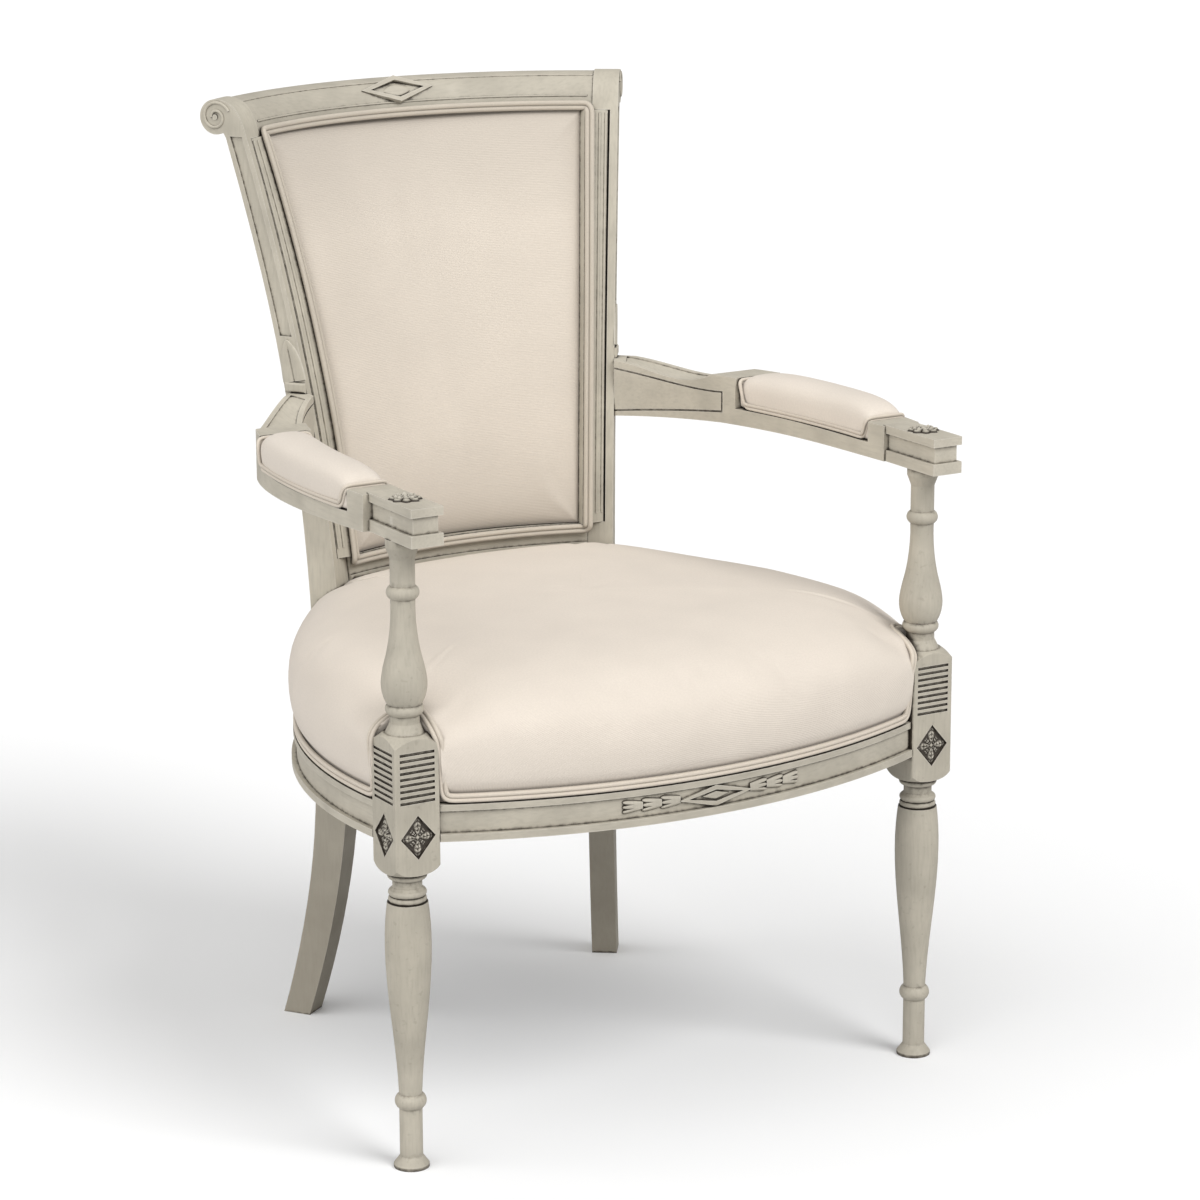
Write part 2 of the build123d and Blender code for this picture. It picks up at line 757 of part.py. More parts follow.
def band_point(z, along, out):
    """Plan point on the panel stile's face: along the face from the post, out in front of it."""
    start = post_point(front_edge(z) + crest_set_back, z, band_start)
    turn = band_turn(z)
    x = start.X - along * cos(turn) - out * sin(turn)
    y = start.Y + along * sin(turn) - out * cos(turn)
    return (x, y)


def stile_section(z):
    """Plan corners of the panel stile at height z."""
    inner = band_point(z, band_width, 0.0)
    floor = front_edge(z) + rebate_depth - joint_gap
    back = (inner[0], inner[1] + panel_thickness)
    near = post_point(floor, z, post_thickness + stile_overlap)
    far = post_point(floor, z, band_start)
    return (band_point(z, groove_width, 0.0), inner, back, (near.X, near.Y), (far.X, far.Y))


stile_heights = [
    panel_bottom + joint_gap + (crest_z - panel_bottom - 2 * joint_gap) * i / 5 for i in range(6)
]
pad_heights = [
    panel_bottom + soft_gap + (crest_z - panel_bottom - 2 * soft_gap) * i / 5 for i in range(6)
]

with BuildPart() as right_panel_stile:
    for z in stile_heights:
        with BuildSketch(Plane.XY.offset(z)):
            Polygon(*stile_section(z), align=None)
    loft()


def back_sag(z):
    """Depth of the back's plan curve at height z."""
    return back_sag_low + (back_sag_high - back_sag_low) * (z - panel_bottom) / (crest_z - panel_bottom)


def curved_slab(z, front, thickness, crown):
    """Plan section of a curved layer between the panel stiles at height z."""
    inner = band_point(z, band_width, 0.0)
    w = inner[0] - soft_gap
    y0 = inner[1] + front
    y1 = y0 + thickness
    sag = back_sag(z)
    with BuildLine() as line:
        ThreePointArc((-w, y0), (0, y0 + sag - crown), (w, y0))
        Line((w, y0), (w, y1))
        ThreePointArc((w, y1), (0, y1 + sag), (-w, y1))
        Line((-w, y1), (-w, y0))
    return line.line


with BuildPart() as back_pad:
    for i, z in enumerate(pad_heights):
        draw_in = pad_draw_in if i in (0, len(pad_heights) - 1) else 0.0
        with BuildSketch(Plane.XY.offset(z)):
            with BuildLine():
                add(curved_slab(z, draw_in, pad_thickness - draw_in, pad_crown_back - draw_in))
            make_face()
    loft()

with BuildPart() as back_webbing:
    for i in range(back_web_count):
        web_run = crest_z - panel_bottom - 2 * back_web_margin - web_width
        low = panel_bottom + back_web_margin + web_run * i / (back_web_count - 1)
        for z in (low, low + web_width):
            with BuildSketch(Plane.XY.offset(z)):
                with BuildLine():
                    add(curved_slab(z, pad_thickness + soft_gap, web_thickness, 0.0))
                make_face()
        loft()

with BuildPart() as outside_back:
    for z in pad_heights:
        with BuildSketch(Plane.XY.offset(z)):
            with BuildLine():
                add(curved_slab(z, pad_thickness + web_thickness + 2 * soft_gap, cloth, 0.0))
            make_face()
    loft()

with BuildPart() as back_welt:
    for z in stile_heights:
        with BuildSketch(Plane.XY.offset(z)):
            near = band_width - 2 * back_welt_radius
            Polygon(
                band_point(z, near, soft_gap),
                band_point(z, band_width, soft_gap),
                band_point(z, band_width - welt_slope, back_welt_radius),
                band_point(z, near + welt_slope, back_welt_radius),
                align=None,
            )
    loft()
    mirror(about=Plane.YZ)
    welt_plane = Plane(
        origin=(0, axis_y, 0),
        x_dir=(sin(radians(welt_turn)), cos(radians(welt_turn)), 0),
        z_dir=(cos(radians(welt_turn)), -sin(radians(welt_turn)), 0),
    )
    with BuildSketch(welt_plane):
        top_welt_z = crest_z + back_welt_radius
        with Locations((front_edge(top_welt_z) + crest_set_back - back_welt_radius, top_welt_z)):
            Circle(back_welt_radius - soft_gap)
    revolve(axis=axis_line, revolution_arc=2 * welt_turn)
    low_plane = Plane(
        origin=(*low_centre, 0),
        x_dir=(sin(radians(low_turn)), cos(radians(low_turn)), 0),
        z_dir=(cos(radians(low_turn)), -sin(radians(low_turn)), 0),
    )
    with BuildSketch(low_plane):
        low_welt_z = low_rail_top - back_welt_radius - welt_slope
        with Locations((low_rail_radius - back_welt_radius - soft_gap, low_welt_z)):
            Circle(back_welt_radius)
    revolve(axis=Axis((*low_centre, 0), (0, 0, 1)), revolution_arc=2 * low_turn)


# Arms, with the end blocks that the supports enter
def arm_point(x, y):
    """Plan point given out from the front leg axis and back from the back axis."""
    return (leg_half_span + x, axis_y + y)


arm_root_front = post_point(front_edge(arm_tenon_z) - 1, arm_tenon_z, 2 * tenon_root)
arm_root_back = post_point(front_edge(arm_tenon_z) + stile_depth + 1, arm_tenon_z, 2 * tenon_root)
plate_length = shoulder_y - plate_front_y
plate_mid_y = front_y + (shoulder_y + plate_front_y) / 2
arm_end_y = axis_y + low_rail_front + stile_depth
belly_z = arm_bottom - arm_belly / 4


def arm_plan(inner_inset, outer_inset):
    """Plan outline of the arm, its inner and outer curves drawn in."""
    front_run = front_y + shoulder_y - axis_y
    inner_run = [(x + inner_inset, y) for x, y in arm_inner_points + [(arm_inner_front, front_run)]]
    outer_run = [(x - outer_inset, y) for x, y in [(arm_outer_front, front_run)] + arm_outer_points]
    with BuildLine() as line:
        inner_start = (arm_root_front.X + inner_inset, arm_root_front.Y)
        outer_end = (arm_root_back.X - outer_inset, arm_root_back.Y)
        inner = Spline(inner_start, *[arm_point(*p) for p in inner_run])
        outer = Spline(*[arm_point(*p) for p in outer_run], outer_end)
        Line(inner @ 1, outer @ 0)
        Line(outer @ 1, inner @ 0)
    return line.line


def arm_scoop_line(sink):
    """Side view of the arm's scooped top from the pad to the post, lowered by sink."""
    low = arm_top - arm_scoop - sink
    shoulder_end = (axis_y + pad_back_y + rear_shoulder, arm_top - arm_drop - sink)
    with BuildLine() as line:
        Line((axis_y + pad_back_y, arm_top - arm_drop - sink), shoulder_end)
        Spline(
            shoulder_end,
            (axis_y + scoop_front_y, low + scoop_rise),
            (axis_y + scoop_low_y, low),
            (axis_y + scoop_y, low + scoop_rear_rise),
            (axis_y + scoop_end_y, arm_top - sink),
        )
        Line((axis_y + scoop_end_y, arm_top - sink), (arm_end_y, arm_top - sink))
    return line.line


def panel_outline(inset):
    """Side view of the outline sunk in the arm's inner face, drawn in by inset; its back is past the arm's end."""
    top = [(axis_y + y, arm_bottom + z - inset) for y, z in panel_top_points]
    low = [(axis_y + y, arm_bottom + z + inset) for y, z in panel_low_points]
    top[0] = (top[0][0] + inset, top[0][1])
    low[0] = (low[0][0] + inset, low[0][1])
    with BuildLine() as line:
        Spline(*top)
        Polyline(top[-1], low[-1], low[0], top[0])
    return line.line


# A thin skin of the arm's inner face, under the lines of the sunk outline only
with BuildPart() as arm_panel_cut:
    with BuildSketch(Plane.XY.offset(arm_bottom - arm_belly)):
        with BuildLine():
            add(arm_plan(-panel_depth, 0.0))
        make_face()
        with BuildLine():
            add(arm_plan(panel_depth, -panel_depth))
        make_face(mode=Mode.SUBTRACT)
    extrude(amount=arm_top - arm_bottom + arm_belly)
    with BuildSketch(Plane.YZ):
        with BuildLine():
            add(panel_outline(0.0))
        make_face()
        with BuildLine():
            add(panel_outline(panel_line))
        make_face(mode=Mode.SUBTRACT)
    extrude(amount=leg_half_span, mode=Mode.INTERSECT)

with BuildPart() as arm_top_cut:
    with BuildSketch(Plane.XY.offset(arm_bottom)):
        with BuildLine():
            add(arm_plan(top_panel_margin, top_panel_margin))
        make_face()
    extrude(amount=2 * (arm_top - arm_bottom))
    with BuildSketch(Plane.YZ):
        with BuildLine():
            sunk = arm_scoop_line(top_panel_depth)
            add(sunk)
            top_z = arm_top + arm_drop
            Polyline(sunk @ 1, (arm_end_y, top_z), (axis_y + pad_back_y, top_z), sunk @ 0)
        make_face()
    extrude(amount=2 * leg_half_span, mode=Mode.INTERSECT)
    panel_end = axis_y + pad_back_y + rear_shoulder + top_panel_margin
    split(bisect_by=Plane.XZ.offset(-panel_end), keep=Keep.BOTTOM)
    split(bisect_by=outer_plane.offset(2 * top_panel_margin), keep=Keep.TOP)

with BuildPart() as right_arm:
    with BuildSketch(Plane.XY.offset(arm_bottom - arm_belly)):
        with BuildLine():
            add(arm_plan(0.0, 0.0))
        make_face()
    extrude(amount=arm_top - arm_bottom + arm_belly)
    with BuildSketch(Plane.YZ):
        with BuildLine():
            scoop = arm_scoop_line(0.0)
            add(scoop)
            Polyline(
                scoop @ 1,
                (arm_end_y, arm_bottom - arm_belly),
                (axis_y + belly_y, belly_z),
                (front_y + shoulder_y, arm_bottom),
                (front_y + shoulder_y, shoulder_top),
                (front_y + pad_front_y, shoulder_top),
                (front_y + pad_front_y, pad_seat_z),
                (axis_y + pad_back_y, pad_seat_z),
                scoop @ 0,
            )
        make_face()
    extrude(amount=2 * leg_half_span, mode=Mode.INTERSECT)
    split(bisect_by=outer_plane.offset(joint_gap), keep=Keep.TOP)
    add(arm_panel_cut.part, mode=Mode.SUBTRACT)
    add(arm_top_cut.part, mode=Mode.SUBTRACT)
    for inset, low, high in (
        (0.0, arm_bottom, arm_bottom + low_plate),
        (body_inset, arm_bottom, plate_top),
        (0.0, plate_top - top_plate, plate_top),
    ):
        with BuildSketch(Plane.XY.offset(low)):
            with Locations((leg_half_span + plate_shift, plate_mid_y + joint_gap)):
                Rectangle(2 * (plate_half_width - inset), plate_length - 2 * inset + 2 * body_inset)
        extrude(amount=high - low)
    with BuildSketch(Plane.XY.offset(arm_bottom)):
        with Locations((leg_half_span, front_y)):
            Circle(support_tenon_radius + joint_gap)
    extrude(amount=support_tenon_length + 2 * joint_gap, mode=Mode.SUBTRACT)
    with BuildSketch(outer_plane.offset(2 * tenon_root)):
        r, z, wide, high = outer_tenons(0.0)[1]
        with Locations((r, z)):
            Rectangle(wide, high)
    extrude(amount=-outer_tenon - 2 * tenon_root)


def pad_outline(inset):
    """Plan outline of the arm pad, drawn in by inset."""
    low = front_y + pad_front_y - axis_y + soft_gap + inset
    high = pad_back_y - soft_gap - inset
    mid = (low + high) / 2
    inner = [(pad_inner_x[0] + inset, low), (pad_inner_x[1] + inset, mid), (pad_inner_x[2] + inset, high)]
    outer = [(pad_outer_x[0] - inset, low), (pad_outer_x[1] - inset, mid), (pad_outer_x[2] - inset, high)]
    with BuildLine() as line:
        near = ThreePointArc(*[arm_point(*p) for p in inner])
        far = ThreePointArc(*[arm_point(*p) for p in reversed(outer)])
        Line(near @ 1, far @ 0)
        Line(far @ 1, near @ 0)
    return line.line


with BuildPart() as right_arm_pad:
    for inset, rise in (
        (pad_welt_width + soft_gap, soft_gap),
        (pad_welt_width + soft_gap, pad_welt_height + pad_draw),
        (pad_welt_width - pad_swell, pad_crown / 2),
        (pad_welt_width + pad_draw, pad_crown - 2 * pad_swell),
        (pad_welt_width + pad_round, pad_crown),
    ):
        with BuildSketch(Plane.XY.offset(pad_seat_z + rise)):
            with BuildLine():
                add(pad_outline(inset))
            make_face()
    loft()

with BuildPart() as right_arm_welt:
    with BuildSketch(Plane.XY.offset(pad_seat_z + soft_gap)):
        with BuildLine():
            add(pad_outline(0.0))
        make_face()
        with BuildLine():
            add(pad_outline(pad_welt_width))
        make_face(mode=Mode.SUBTRACT)
    extrude(amount=pad_welt_height)


# Seat upholstery, cut round the leg blocks and the posts
def notches(gap, low, high):
    """Solids that stand for the leg blocks and posts, grown by a gap, between two heights."""
    with BuildPart(mode=Mode.PRIVATE) as cut:
        for side in (1, -1):
            with BuildSketch(Plane.XY.offset(low)):
                with Locations((side * leg_half_span, front_y)):
                    Rectangle(block_size + 2 * gap, block_size + 2 * gap)
            extrude(amount=high - low)
        heights = [low + (high - low) * i / 6 for i in range(7)]
        with BuildSketch(post_plane.offset(-gap)):
            with BuildLine():
                Polyline(
                    *[(front_edge(z) - 2 * gap, z) for z in heights],
                    (knee_radius + 2 * knee_depth, high),
                    (knee_radius + 2 * knee_depth, low),
                    close=True,
                )
            make_face()
        extrude(amount=post_thickness + 2 * gap)
        mirror(cut.part, about=Plane.YZ)
    return cut.part


def crown_section(turn):
    """Height and reach of the seat's crown where its outline has turned by an angle from upright."""
    lean = radians(turn)
    z = welt_z + seat_wall + (seat_crown - seat_wall) * sin(lean) ** crown_fullness
    return (z, seat_bulge - seat_dome * (1 - cos(lean)))


skirt_reach = -seat_welt_width / 2
wall_sections = [
    (welt_z + soft_gap, skirt_reach - soft_gap),
    (welt_z + seat_welt_height + 2 * soft_gap, skirt_reach),
    crown_section(0),
]
crown_sections = [crown_section(turn) for turn in (0, 26, 52, 78)]
web_top = rail_top + 2 * web_thickness
cloth_top = web_top + cloth
seat_top = welt_z + 2 * seat_crown

with BuildPart() as seat_cover:
    for sections in (wall_sections, crown_sections):
        for z, reach in sections:
            with BuildSketch(Plane.XY.offset(z)):
                add(seat_region(reach, reach))
        loft()
    with BuildSketch(Plane.XY.offset(welt_z)):
        add(seat_region(soft_gap - tuck_reach, soft_gap - tuck_reach))
    extrude(amount=cloth_top - welt_z + soft_gap, mode=Mode.SUBTRACT)
    with BuildSketch(Plane.XY.offset(cloth_top)):
        add(seat_region(soft_gap - stuffing_inset, soft_gap - stuffing_inset))
    extrude(amount=stuffing_height + soft_gap, mode=Mode.SUBTRACT)
    add(notches(soft_gap, welt_z - bead_height, seat_top), mode=Mode.SUBTRACT)

with BuildPart() as seat_stuffing:
    with BuildSketch(Plane.XY.offset(cloth_top)):
        add(seat_region(-stuffing_inset, -stuffing_inset))
    extrude(amount=stuffing_height)
    add(notches(2 * soft_gap, cloth_top - bead_height, seat_top), mode=Mode.SUBTRACT)

with BuildPart() as seat_base_cloth:
    with BuildSketch(Plane.XY.offset(web_top)):
        add(seat_region(-2 * tuck_reach, -2 * tuck_reach))
    extrude(amount=cloth)
    add(notches(2 * soft_gap, web_top - bead_height, seat_top), mode=Mode.SUBTRACT)

with BuildPart() as seat_webbing_lengthwise:
    with BuildSketch(Plane.XY.offset(rail_top)):
        with GridLocations(long_web_pitch, depth, long_web_count, 1):
            Rectangle(web_width, 2 * depth)
        add(seat_region(-2 * tuck_reach, -2 * tuck_reach), mode=Mode.INTERSECT)
    extrude(amount=web_thickness)
    add(notches(2 * soft_gap, rail_top - bead_height, seat_top), mode=Mode.SUBTRACT)

with BuildPart() as seat_webbing_crosswise:
    with BuildSketch(Plane.XY.offset(rail_top + web_thickness)):
        with Locations((0, (side_start[1] + side_end.Y) / 2)):
            with GridLocations(depth, cross_web_pitch, 1, cross_web_count):
                Rectangle(2 * depth, web_width)
        add(seat_region(-2 * tuck_reach, -2 * tuck_reach), mode=Mode.INTERSECT)
    extrude(amount=web_thickness)
    add(notches(2 * soft_gap, rail_top - bead_height, seat_top), mode=Mode.SUBTRACT)

with BuildPart() as seat_welt:
    with BuildSketch(Plane.XY.offset(welt_z + soft_gap)):
        add(seat_region(seat_welt_width / 2, seat_welt_width / 2))
        inner_reach = skirt_reach + 2 * soft_gap
        add(seat_region(inner_reach, inner_reach), mode=Mode.SUBTRACT)
    extrude(amount=seat_welt_height)
    add(notches(soft_gap, welt_z - bead_height, seat_top), mode=Mode.SUBTRACT)

with BuildPart() as dust_cover:
    with BuildSketch(Plane.XY.offset(rail_bottom - cloth)):
        add(seat_region(-2 * tuck_reach, -2 * tuck_reach))
    extrude(amount=cloth)
    add(notches(2 * soft_gap, rail_bottom - bead_height, rail_bottom + bead_height), mode=Mode.SUBTRACT)

# Corner blocks, and the screws that hold them to the legs and posts
front_block_depth = (front_block_reach - block_size) / 2 ** 0.5
inside = seat_region(-rail_thickness - block_gap, -rear_rail_thickness - block_gap)
far_x = leg_half_span + block_size
front_corner = [
    (far_x, front_y - bow_reach),
    (far_x, front_y + front_block_reach + block_size),
    (leg_half_span - front_block_reach - bow_reach, front_y - bow_reach),
]
rear_corner = [
    (rear_cut_x, axis_y + rear_rail_back),
    (far_x, axis_y + rear_rail_back),
    (far_x, axis_y + rear_cut_y),
    (rear_cut_x + rear_cut_width, axis_y + rear_cut_y),
]
corner_screws = (
    (front_screw_plane, front_block_depth, front_screw_grip),
    (rear_screw_plane, rear_block_depth, rear_screw_grip),
)

with BuildPart() as right_front_corner_block:
    with BuildSketch(Plane.XY.offset(corner_low)):
        Polygon(*front_corner, align=None)
        add(inside, mode=Mode.INTERSECT)
    extrude(amount=corner_height)
    add(notches(block_gap, corner_low - bead_height, rail_top), mode=Mode.SUBTRACT)
    plane, block_depth, grip = corner_screws[0]
    with BuildSketch(plane):
        Circle(screw_radius + screw_play)
    extrude(amount=-2 * block_depth, both=True, mode=Mode.SUBTRACT)
    with BuildSketch(plane.offset(screw_recess - block_depth)):
        Circle(screw_head_radius + screw_play)
    extrude(amount=-2 * block_depth, mode=Mode.SUBTRACT)

with BuildPart() as right_rear_corner_block:
    with BuildSketch(Plane.XY.offset(corner_low)):
        Polygon(*rear_corner, align=None)
        add(inside, mode=Mode.INTERSECT)
    extrude(amount=corner_height)
    add(notches(block_gap, corner_low - bead_height, rail_top), mode=Mode.SUBTRACT)
    plane, block_depth, grip = corner_screws[1]
    with BuildSketch(plane):
        Circle(screw_radius + screw_play)
    extrude(amount=-2 * block_depth, both=True, mode=Mode.SUBTRACT)
    with BuildSketch(plane.offset(screw_recess - block_depth)):
        Circle(screw_head_radius + screw_play)
    extrude(amount=-2 * block_depth, mode=Mode.SUBTRACT)


with BuildPart() as corner_block_screws:
    for plane, block_depth, grip in corner_screws:
        seat_plane = plane.offset(screw_recess - block_depth)
        with BuildSketch(seat_plane):
            Circle(screw_radius)
        extrude(amount=block_depth - screw_recess + grip)
        with BuildSketch(seat_plane):
            Circle(screw_head_radius)
        extrude(amount=-screw_head_height)
    mirror(about=Plane.YZ)

# Every piece goes into a file of its own; the left pieces mirror the right ones
pairs = {
    "front_leg": right_front_leg,
    "back_post": right_back_post,
    "panel_stile": right_panel_stile,
    "seat_rail": right_seat_rail,
    "arm": right_arm,
    "arm_pad": right_arm_pad,
    "arm_welt": right_arm_welt,
    "front_corner_block": right_front_corner_block,
    "rear_corner_block": right_rear_corner_block,
}
singles = {
    "crest_rail": crest_rail,
    "lower_back_rail": lower_back_rail,
    "front_seat_rail": front_seat_rail,
    "rear_seat_rail": rear_seat_rail,
    "seat_cover": seat_cover,
    "seat_stuffing": seat_stuffing,
    "seat_base_cloth": seat_base_cloth,
    "seat_webbing_lengthwise": seat_webbing_lengthwise,
    "seat_webbing_crosswise": seat_webbing_crosswise,
    "seat_welt": seat_welt,
    "dust_cover": dust_cover,
    "back_pad": back_pad,
    "back_welt": back_welt,
    "back_webbing": back_webbing,
    "outside_back": outside_back,
    "corner_block_screws": corner_block_screws,
}
for name, piece in pairs.items():
    with BuildPart() as left_piece:
        mirror(piece.part, about=Plane.YZ)
    singles["right_" + name] = piece
    singles["left_" + name] = left_piece
for name, piece in singles.items():
    piece.part.label = name
    export_step(piece.part, "parts/" + name + ".step")
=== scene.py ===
"""Looks of a painted open armchair with tight cream upholstery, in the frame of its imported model."""

import logging
from dataclasses import dataclass, field
from enum import Enum

import bmesh
import bpy
import numpy as np
from mathutils import Matrix, Vector


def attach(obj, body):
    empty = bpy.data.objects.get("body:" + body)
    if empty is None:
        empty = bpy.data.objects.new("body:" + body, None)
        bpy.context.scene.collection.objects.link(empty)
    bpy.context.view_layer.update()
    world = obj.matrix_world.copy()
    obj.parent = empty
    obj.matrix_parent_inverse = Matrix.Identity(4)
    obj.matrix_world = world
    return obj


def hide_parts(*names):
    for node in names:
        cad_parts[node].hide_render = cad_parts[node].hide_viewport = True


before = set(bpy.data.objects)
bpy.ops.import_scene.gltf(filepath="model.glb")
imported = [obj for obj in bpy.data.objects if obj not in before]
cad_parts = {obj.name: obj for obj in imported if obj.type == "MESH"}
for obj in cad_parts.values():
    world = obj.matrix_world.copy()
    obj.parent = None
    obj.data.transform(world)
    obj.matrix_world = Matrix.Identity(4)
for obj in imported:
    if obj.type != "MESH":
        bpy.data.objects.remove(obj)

LOG = logging.getLogger("armchair")
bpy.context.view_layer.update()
BODY = "root"
Array = np.ndarray
Colour = tuple[float, float, float]
Socket = bpy.types.NodeSocket
Material = bpy.types.Material
Piece = bpy.types.Object

# Places in the shared frame, metres, that several pieces are measured from
FRONT_Y = -0.243
LEG_X = 0.279
AXIS_Y = -0.053
POST_ANGLE = np.radians(35.0)
POST_THICKNESS = 0.026
KNEE_Z = 0.280
KNEE_REACH = 0.229
CREST_Z = 0.884
CREST_SPREAD = 0.096
POST_POWER = 1.9
PANEL_LOW = 0.476
SOFT_GAP = 0.0004

# Directions in the shared frame: across, backward, up, and out of and along the right back post's plank
ACROSS = np.array([1.0, 0.0, 0.0])
BACKWARD = np.array([0.0, 1.0, 0.0])
UP = np.array([0.0, 0.0, 1.0])
POST_OUT = np.array([np.cos(POST_ANGLE), -np.sin(POST_ANGLE), 0.0])
POST_ALONG = np.array([np.sin(POST_ANGLE), np.cos(POST_ANGLE), 0.0])


class Slot(Enum):
    """Material slots of the record."""

    PAINT = "paint"
    FABRIC = "fabric"
    WELT = "welt"
    STUFFING = "stuffing"
    WEBBING = "webbing"
    BLACK_CLOTH = "black_cloth"
    RAW_WOOD = "raw_wood"
    SCREW_STEEL = "screw_steel"


class Grain(Enum):
    """Way the brush ran over a painted piece, as a stretch of the streak pattern along x, y and z."""

    UPRIGHT = (1.0, 1.0, 0.1)
    ACROSS = (0.1, 1.0, 1.0)
    LENGTHWISE = (1.0, 0.1, 1.0)


class Side(Enum):
    """Side of the chair, by the sign of x."""

    LEFT = -1
    RIGHT = 1

    @property
    def label(self) -> str:
        """Name that the side's pieces start with.

        Returns:
            The side in lower case.
        """
        return self.name.lower()

    @property
    def flip(self) -> Array:
        """Factors that carry a point of the right side over to this side.

        Returns:
            Factors of x, y and z.
        """
        return np.array([self.value, 1.0, 1.0])


# Shapes


@dataclass
class Surface:
    """Grid of points over two parameters, closed round its columns where wrap is set."""

    points: Array
    wrap: bool = True
    uv: Array | None = None


def grid_quads(rows: int, cols: int, wrap: bool) -> Array:
    """Faces of a grid of points, row after row.

    Args:
        rows: Number of rows.
        cols: Number of columns.
        wrap: Whether the last column joins the first.

    Returns:
        Four point numbers for each face.
    """
    row = np.arange(rows - 1)[:, None] * cols
    col = np.arange(cols if wrap else cols - 1)[None, :]
    beside = (col + 1) % cols
    corners = [row + col, row + beside, row + cols + beside, row + cols + col]
    return np.stack(corners, axis=-1).reshape(-1, 4)


def make_piece(name: str, surfaces: list[Surface], crease: float = 50.0) -> Piece:
    """Object made of closed surfaces, with equal points joined and faces turned outward.

    Args:
        name: Name of the object.
        surfaces: Surfaces that make it up.
        crease: Angle in degrees above which an edge is shaded sharp.

    Returns:
        The object, at the origin.
    """
    sizes = [s.points.shape[0] * s.points.shape[1] for s in surfaces]
    starts = np.concatenate([[0], np.cumsum(sizes)[:-1]])
    points = np.concatenate([s.points.reshape(-1, 3) for s in surfaces])
    faces = np.concatenate(
        [grid_quads(*s.points.shape[:2], s.wrap) + start for s, start in zip(surfaces, starts)]
    )
    mesh = bpy.data.meshes.new(name)
    mesh.from_pydata(points.tolist(), [], faces.tolist())
    if all(s.uv is not None for s in surfaces):
        flat = np.concatenate([s.uv.reshape(-1, 2) for s in surfaces])
        corner = np.zeros(len(mesh.loops), dtype=np.int32)
        mesh.loops.foreach_get("vertex_index", corner)
        mesh.uv_layers.new(name="weave").data.foreach_set("uv", flat[corner].ravel())
    shape = bmesh.new()
    shape.from_mesh(mesh)
    bmesh.ops.remove_doubles(shape, verts=shape.verts, dist=2e-6)
    bmesh.ops.dissolve_degenerate(shape, edges=shape.edges, dist=1e-7)
    bmesh.ops.recalc_face_normals(shape, faces=shape.faces)
    shape.to_mesh(mesh)
    shape.free()
    mesh.shade_smooth()
    mesh.set_sharp_from_angle(angle=np.radians(crease))
    piece = bpy.data.objects.new(name, mesh)
    bpy.context.scene.collection.objects.link(piece)
    return piece


def unit(vectors: Array) -> Array:
    """Vectors scaled to length one.

    Args:
        vectors: Vectors along the last axis.

    Returns:
        Unit vectors.
    """
    return vectors / np.maximum(np.linalg.norm(vectors, axis=-1, keepdims=True), 1e-12)


def resample(path: Array, count: int, closed: bool) -> Array:
    """Points evenly spaced along a line.

    Args:
        path: Points of the line, with any further values to carry along in more columns.
        count: Number of points wanted.
        closed: Whether the line returns to its start.

    Returns:
        The new points.
    """
    line = np.concatenate([path, path[:1]]) if closed else path
    steps = np.linalg.norm(np.diff(line[:, :3], axis=0), axis=1)
    along = np.concatenate([[0.0], np.cumsum(steps)])
    at = np.linspace(0.0, along[-1], count, endpoint=not closed)
    return np.stack([np.interp(at, along, line[:, k]) for k in range(line.shape[1])], axis=1)


def soften(path: Array, passes: int) -> Array:
    """Closed line with its corners eased by averaging each point with its neighbours.

    Args:
        path: Points of the closed line.
        passes: How often it is averaged.

    Returns:
        The eased points.
    """
    for _ in range(passes):
        path = 0.5 * path + 0.25 * (np.roll(path, 1, axis=0) + np.roll(path, -1, axis=0))
    return path


def sweep(path: Array, out: Array, profile: Array, closed: bool) -> Surface:
    """Closed profile carried along a path.

    A point is the path's point, plus the profile's first value along the outward direction, plus its
    second value along the direction across path and outward. Open ends run together in one point.

    Args:
        path: Points of the path.
        out: Outward direction at each point.
        profile: Points of the profile, out and across.
        closed: Whether the path returns to its start.

    Returns:
        The swept surface.
    """
    run = np.roll(path, -1, axis=0) - np.roll(path, 1, axis=0) if closed else np.gradient(path, axis=0)
    run = unit(run)
    out = unit(out - (out * run).sum(axis=1, keepdims=True) * run)
    across = np.cross(run, out)
    rows = path[:, None] + profile[None, :, :1] * out[:, None] + profile[None, :, 1:] * across[:, None]
    ends = np.repeat(path[[0, -1]][:, None], len(profile), axis=1)
    rows = np.concatenate([rows, rows[:1]]) if closed else np.concatenate([ends[:1], rows, ends[1:]])
    length = np.concatenate([[0.0], np.cumsum(np.linalg.norm(np.diff(rows.mean(axis=1), axis=0), axis=1))])
    round_way = np.linspace(0.0, 4.0 * np.abs(profile).max(), len(profile))
    uv = np.stack(np.broadcast_arrays(round_way[None, :], length[:, None]), axis=-1)
    return Surface(rows, True, uv)


def circle_profile(radius: float, count: int) -> Array:
    """Round profile.

    Args:
        radius: Radius of the circle.
        count: Number of points.

    Returns:
        Points of the circle.
    """
    turn = np.linspace(0.0, 2 * np.pi, count, endpoint=False)
    return radius * np.stack([np.cos(turn), np.sin(turn)], axis=1)


def double_cord(radius: float, count: int = 32) -> Array:
    """Outline of two cords side by side: on each ray from between them, the further circle's crossing.

    Args:
        radius: Radius of one cord.
        count: Number of points.

    Returns:
        Points of the outline, out and across.
    """
    turn = np.linspace(0.0, 2 * np.pi, count, endpoint=False)
    shift = 0.93 * radius
    reach = shift * np.abs(np.sin(turn))
    ray = reach + np.sqrt(radius**2 - shift**2 + reach**2)
    return ray[:, None] * np.stack([np.cos(turn), np.sin(turn)], axis=1)


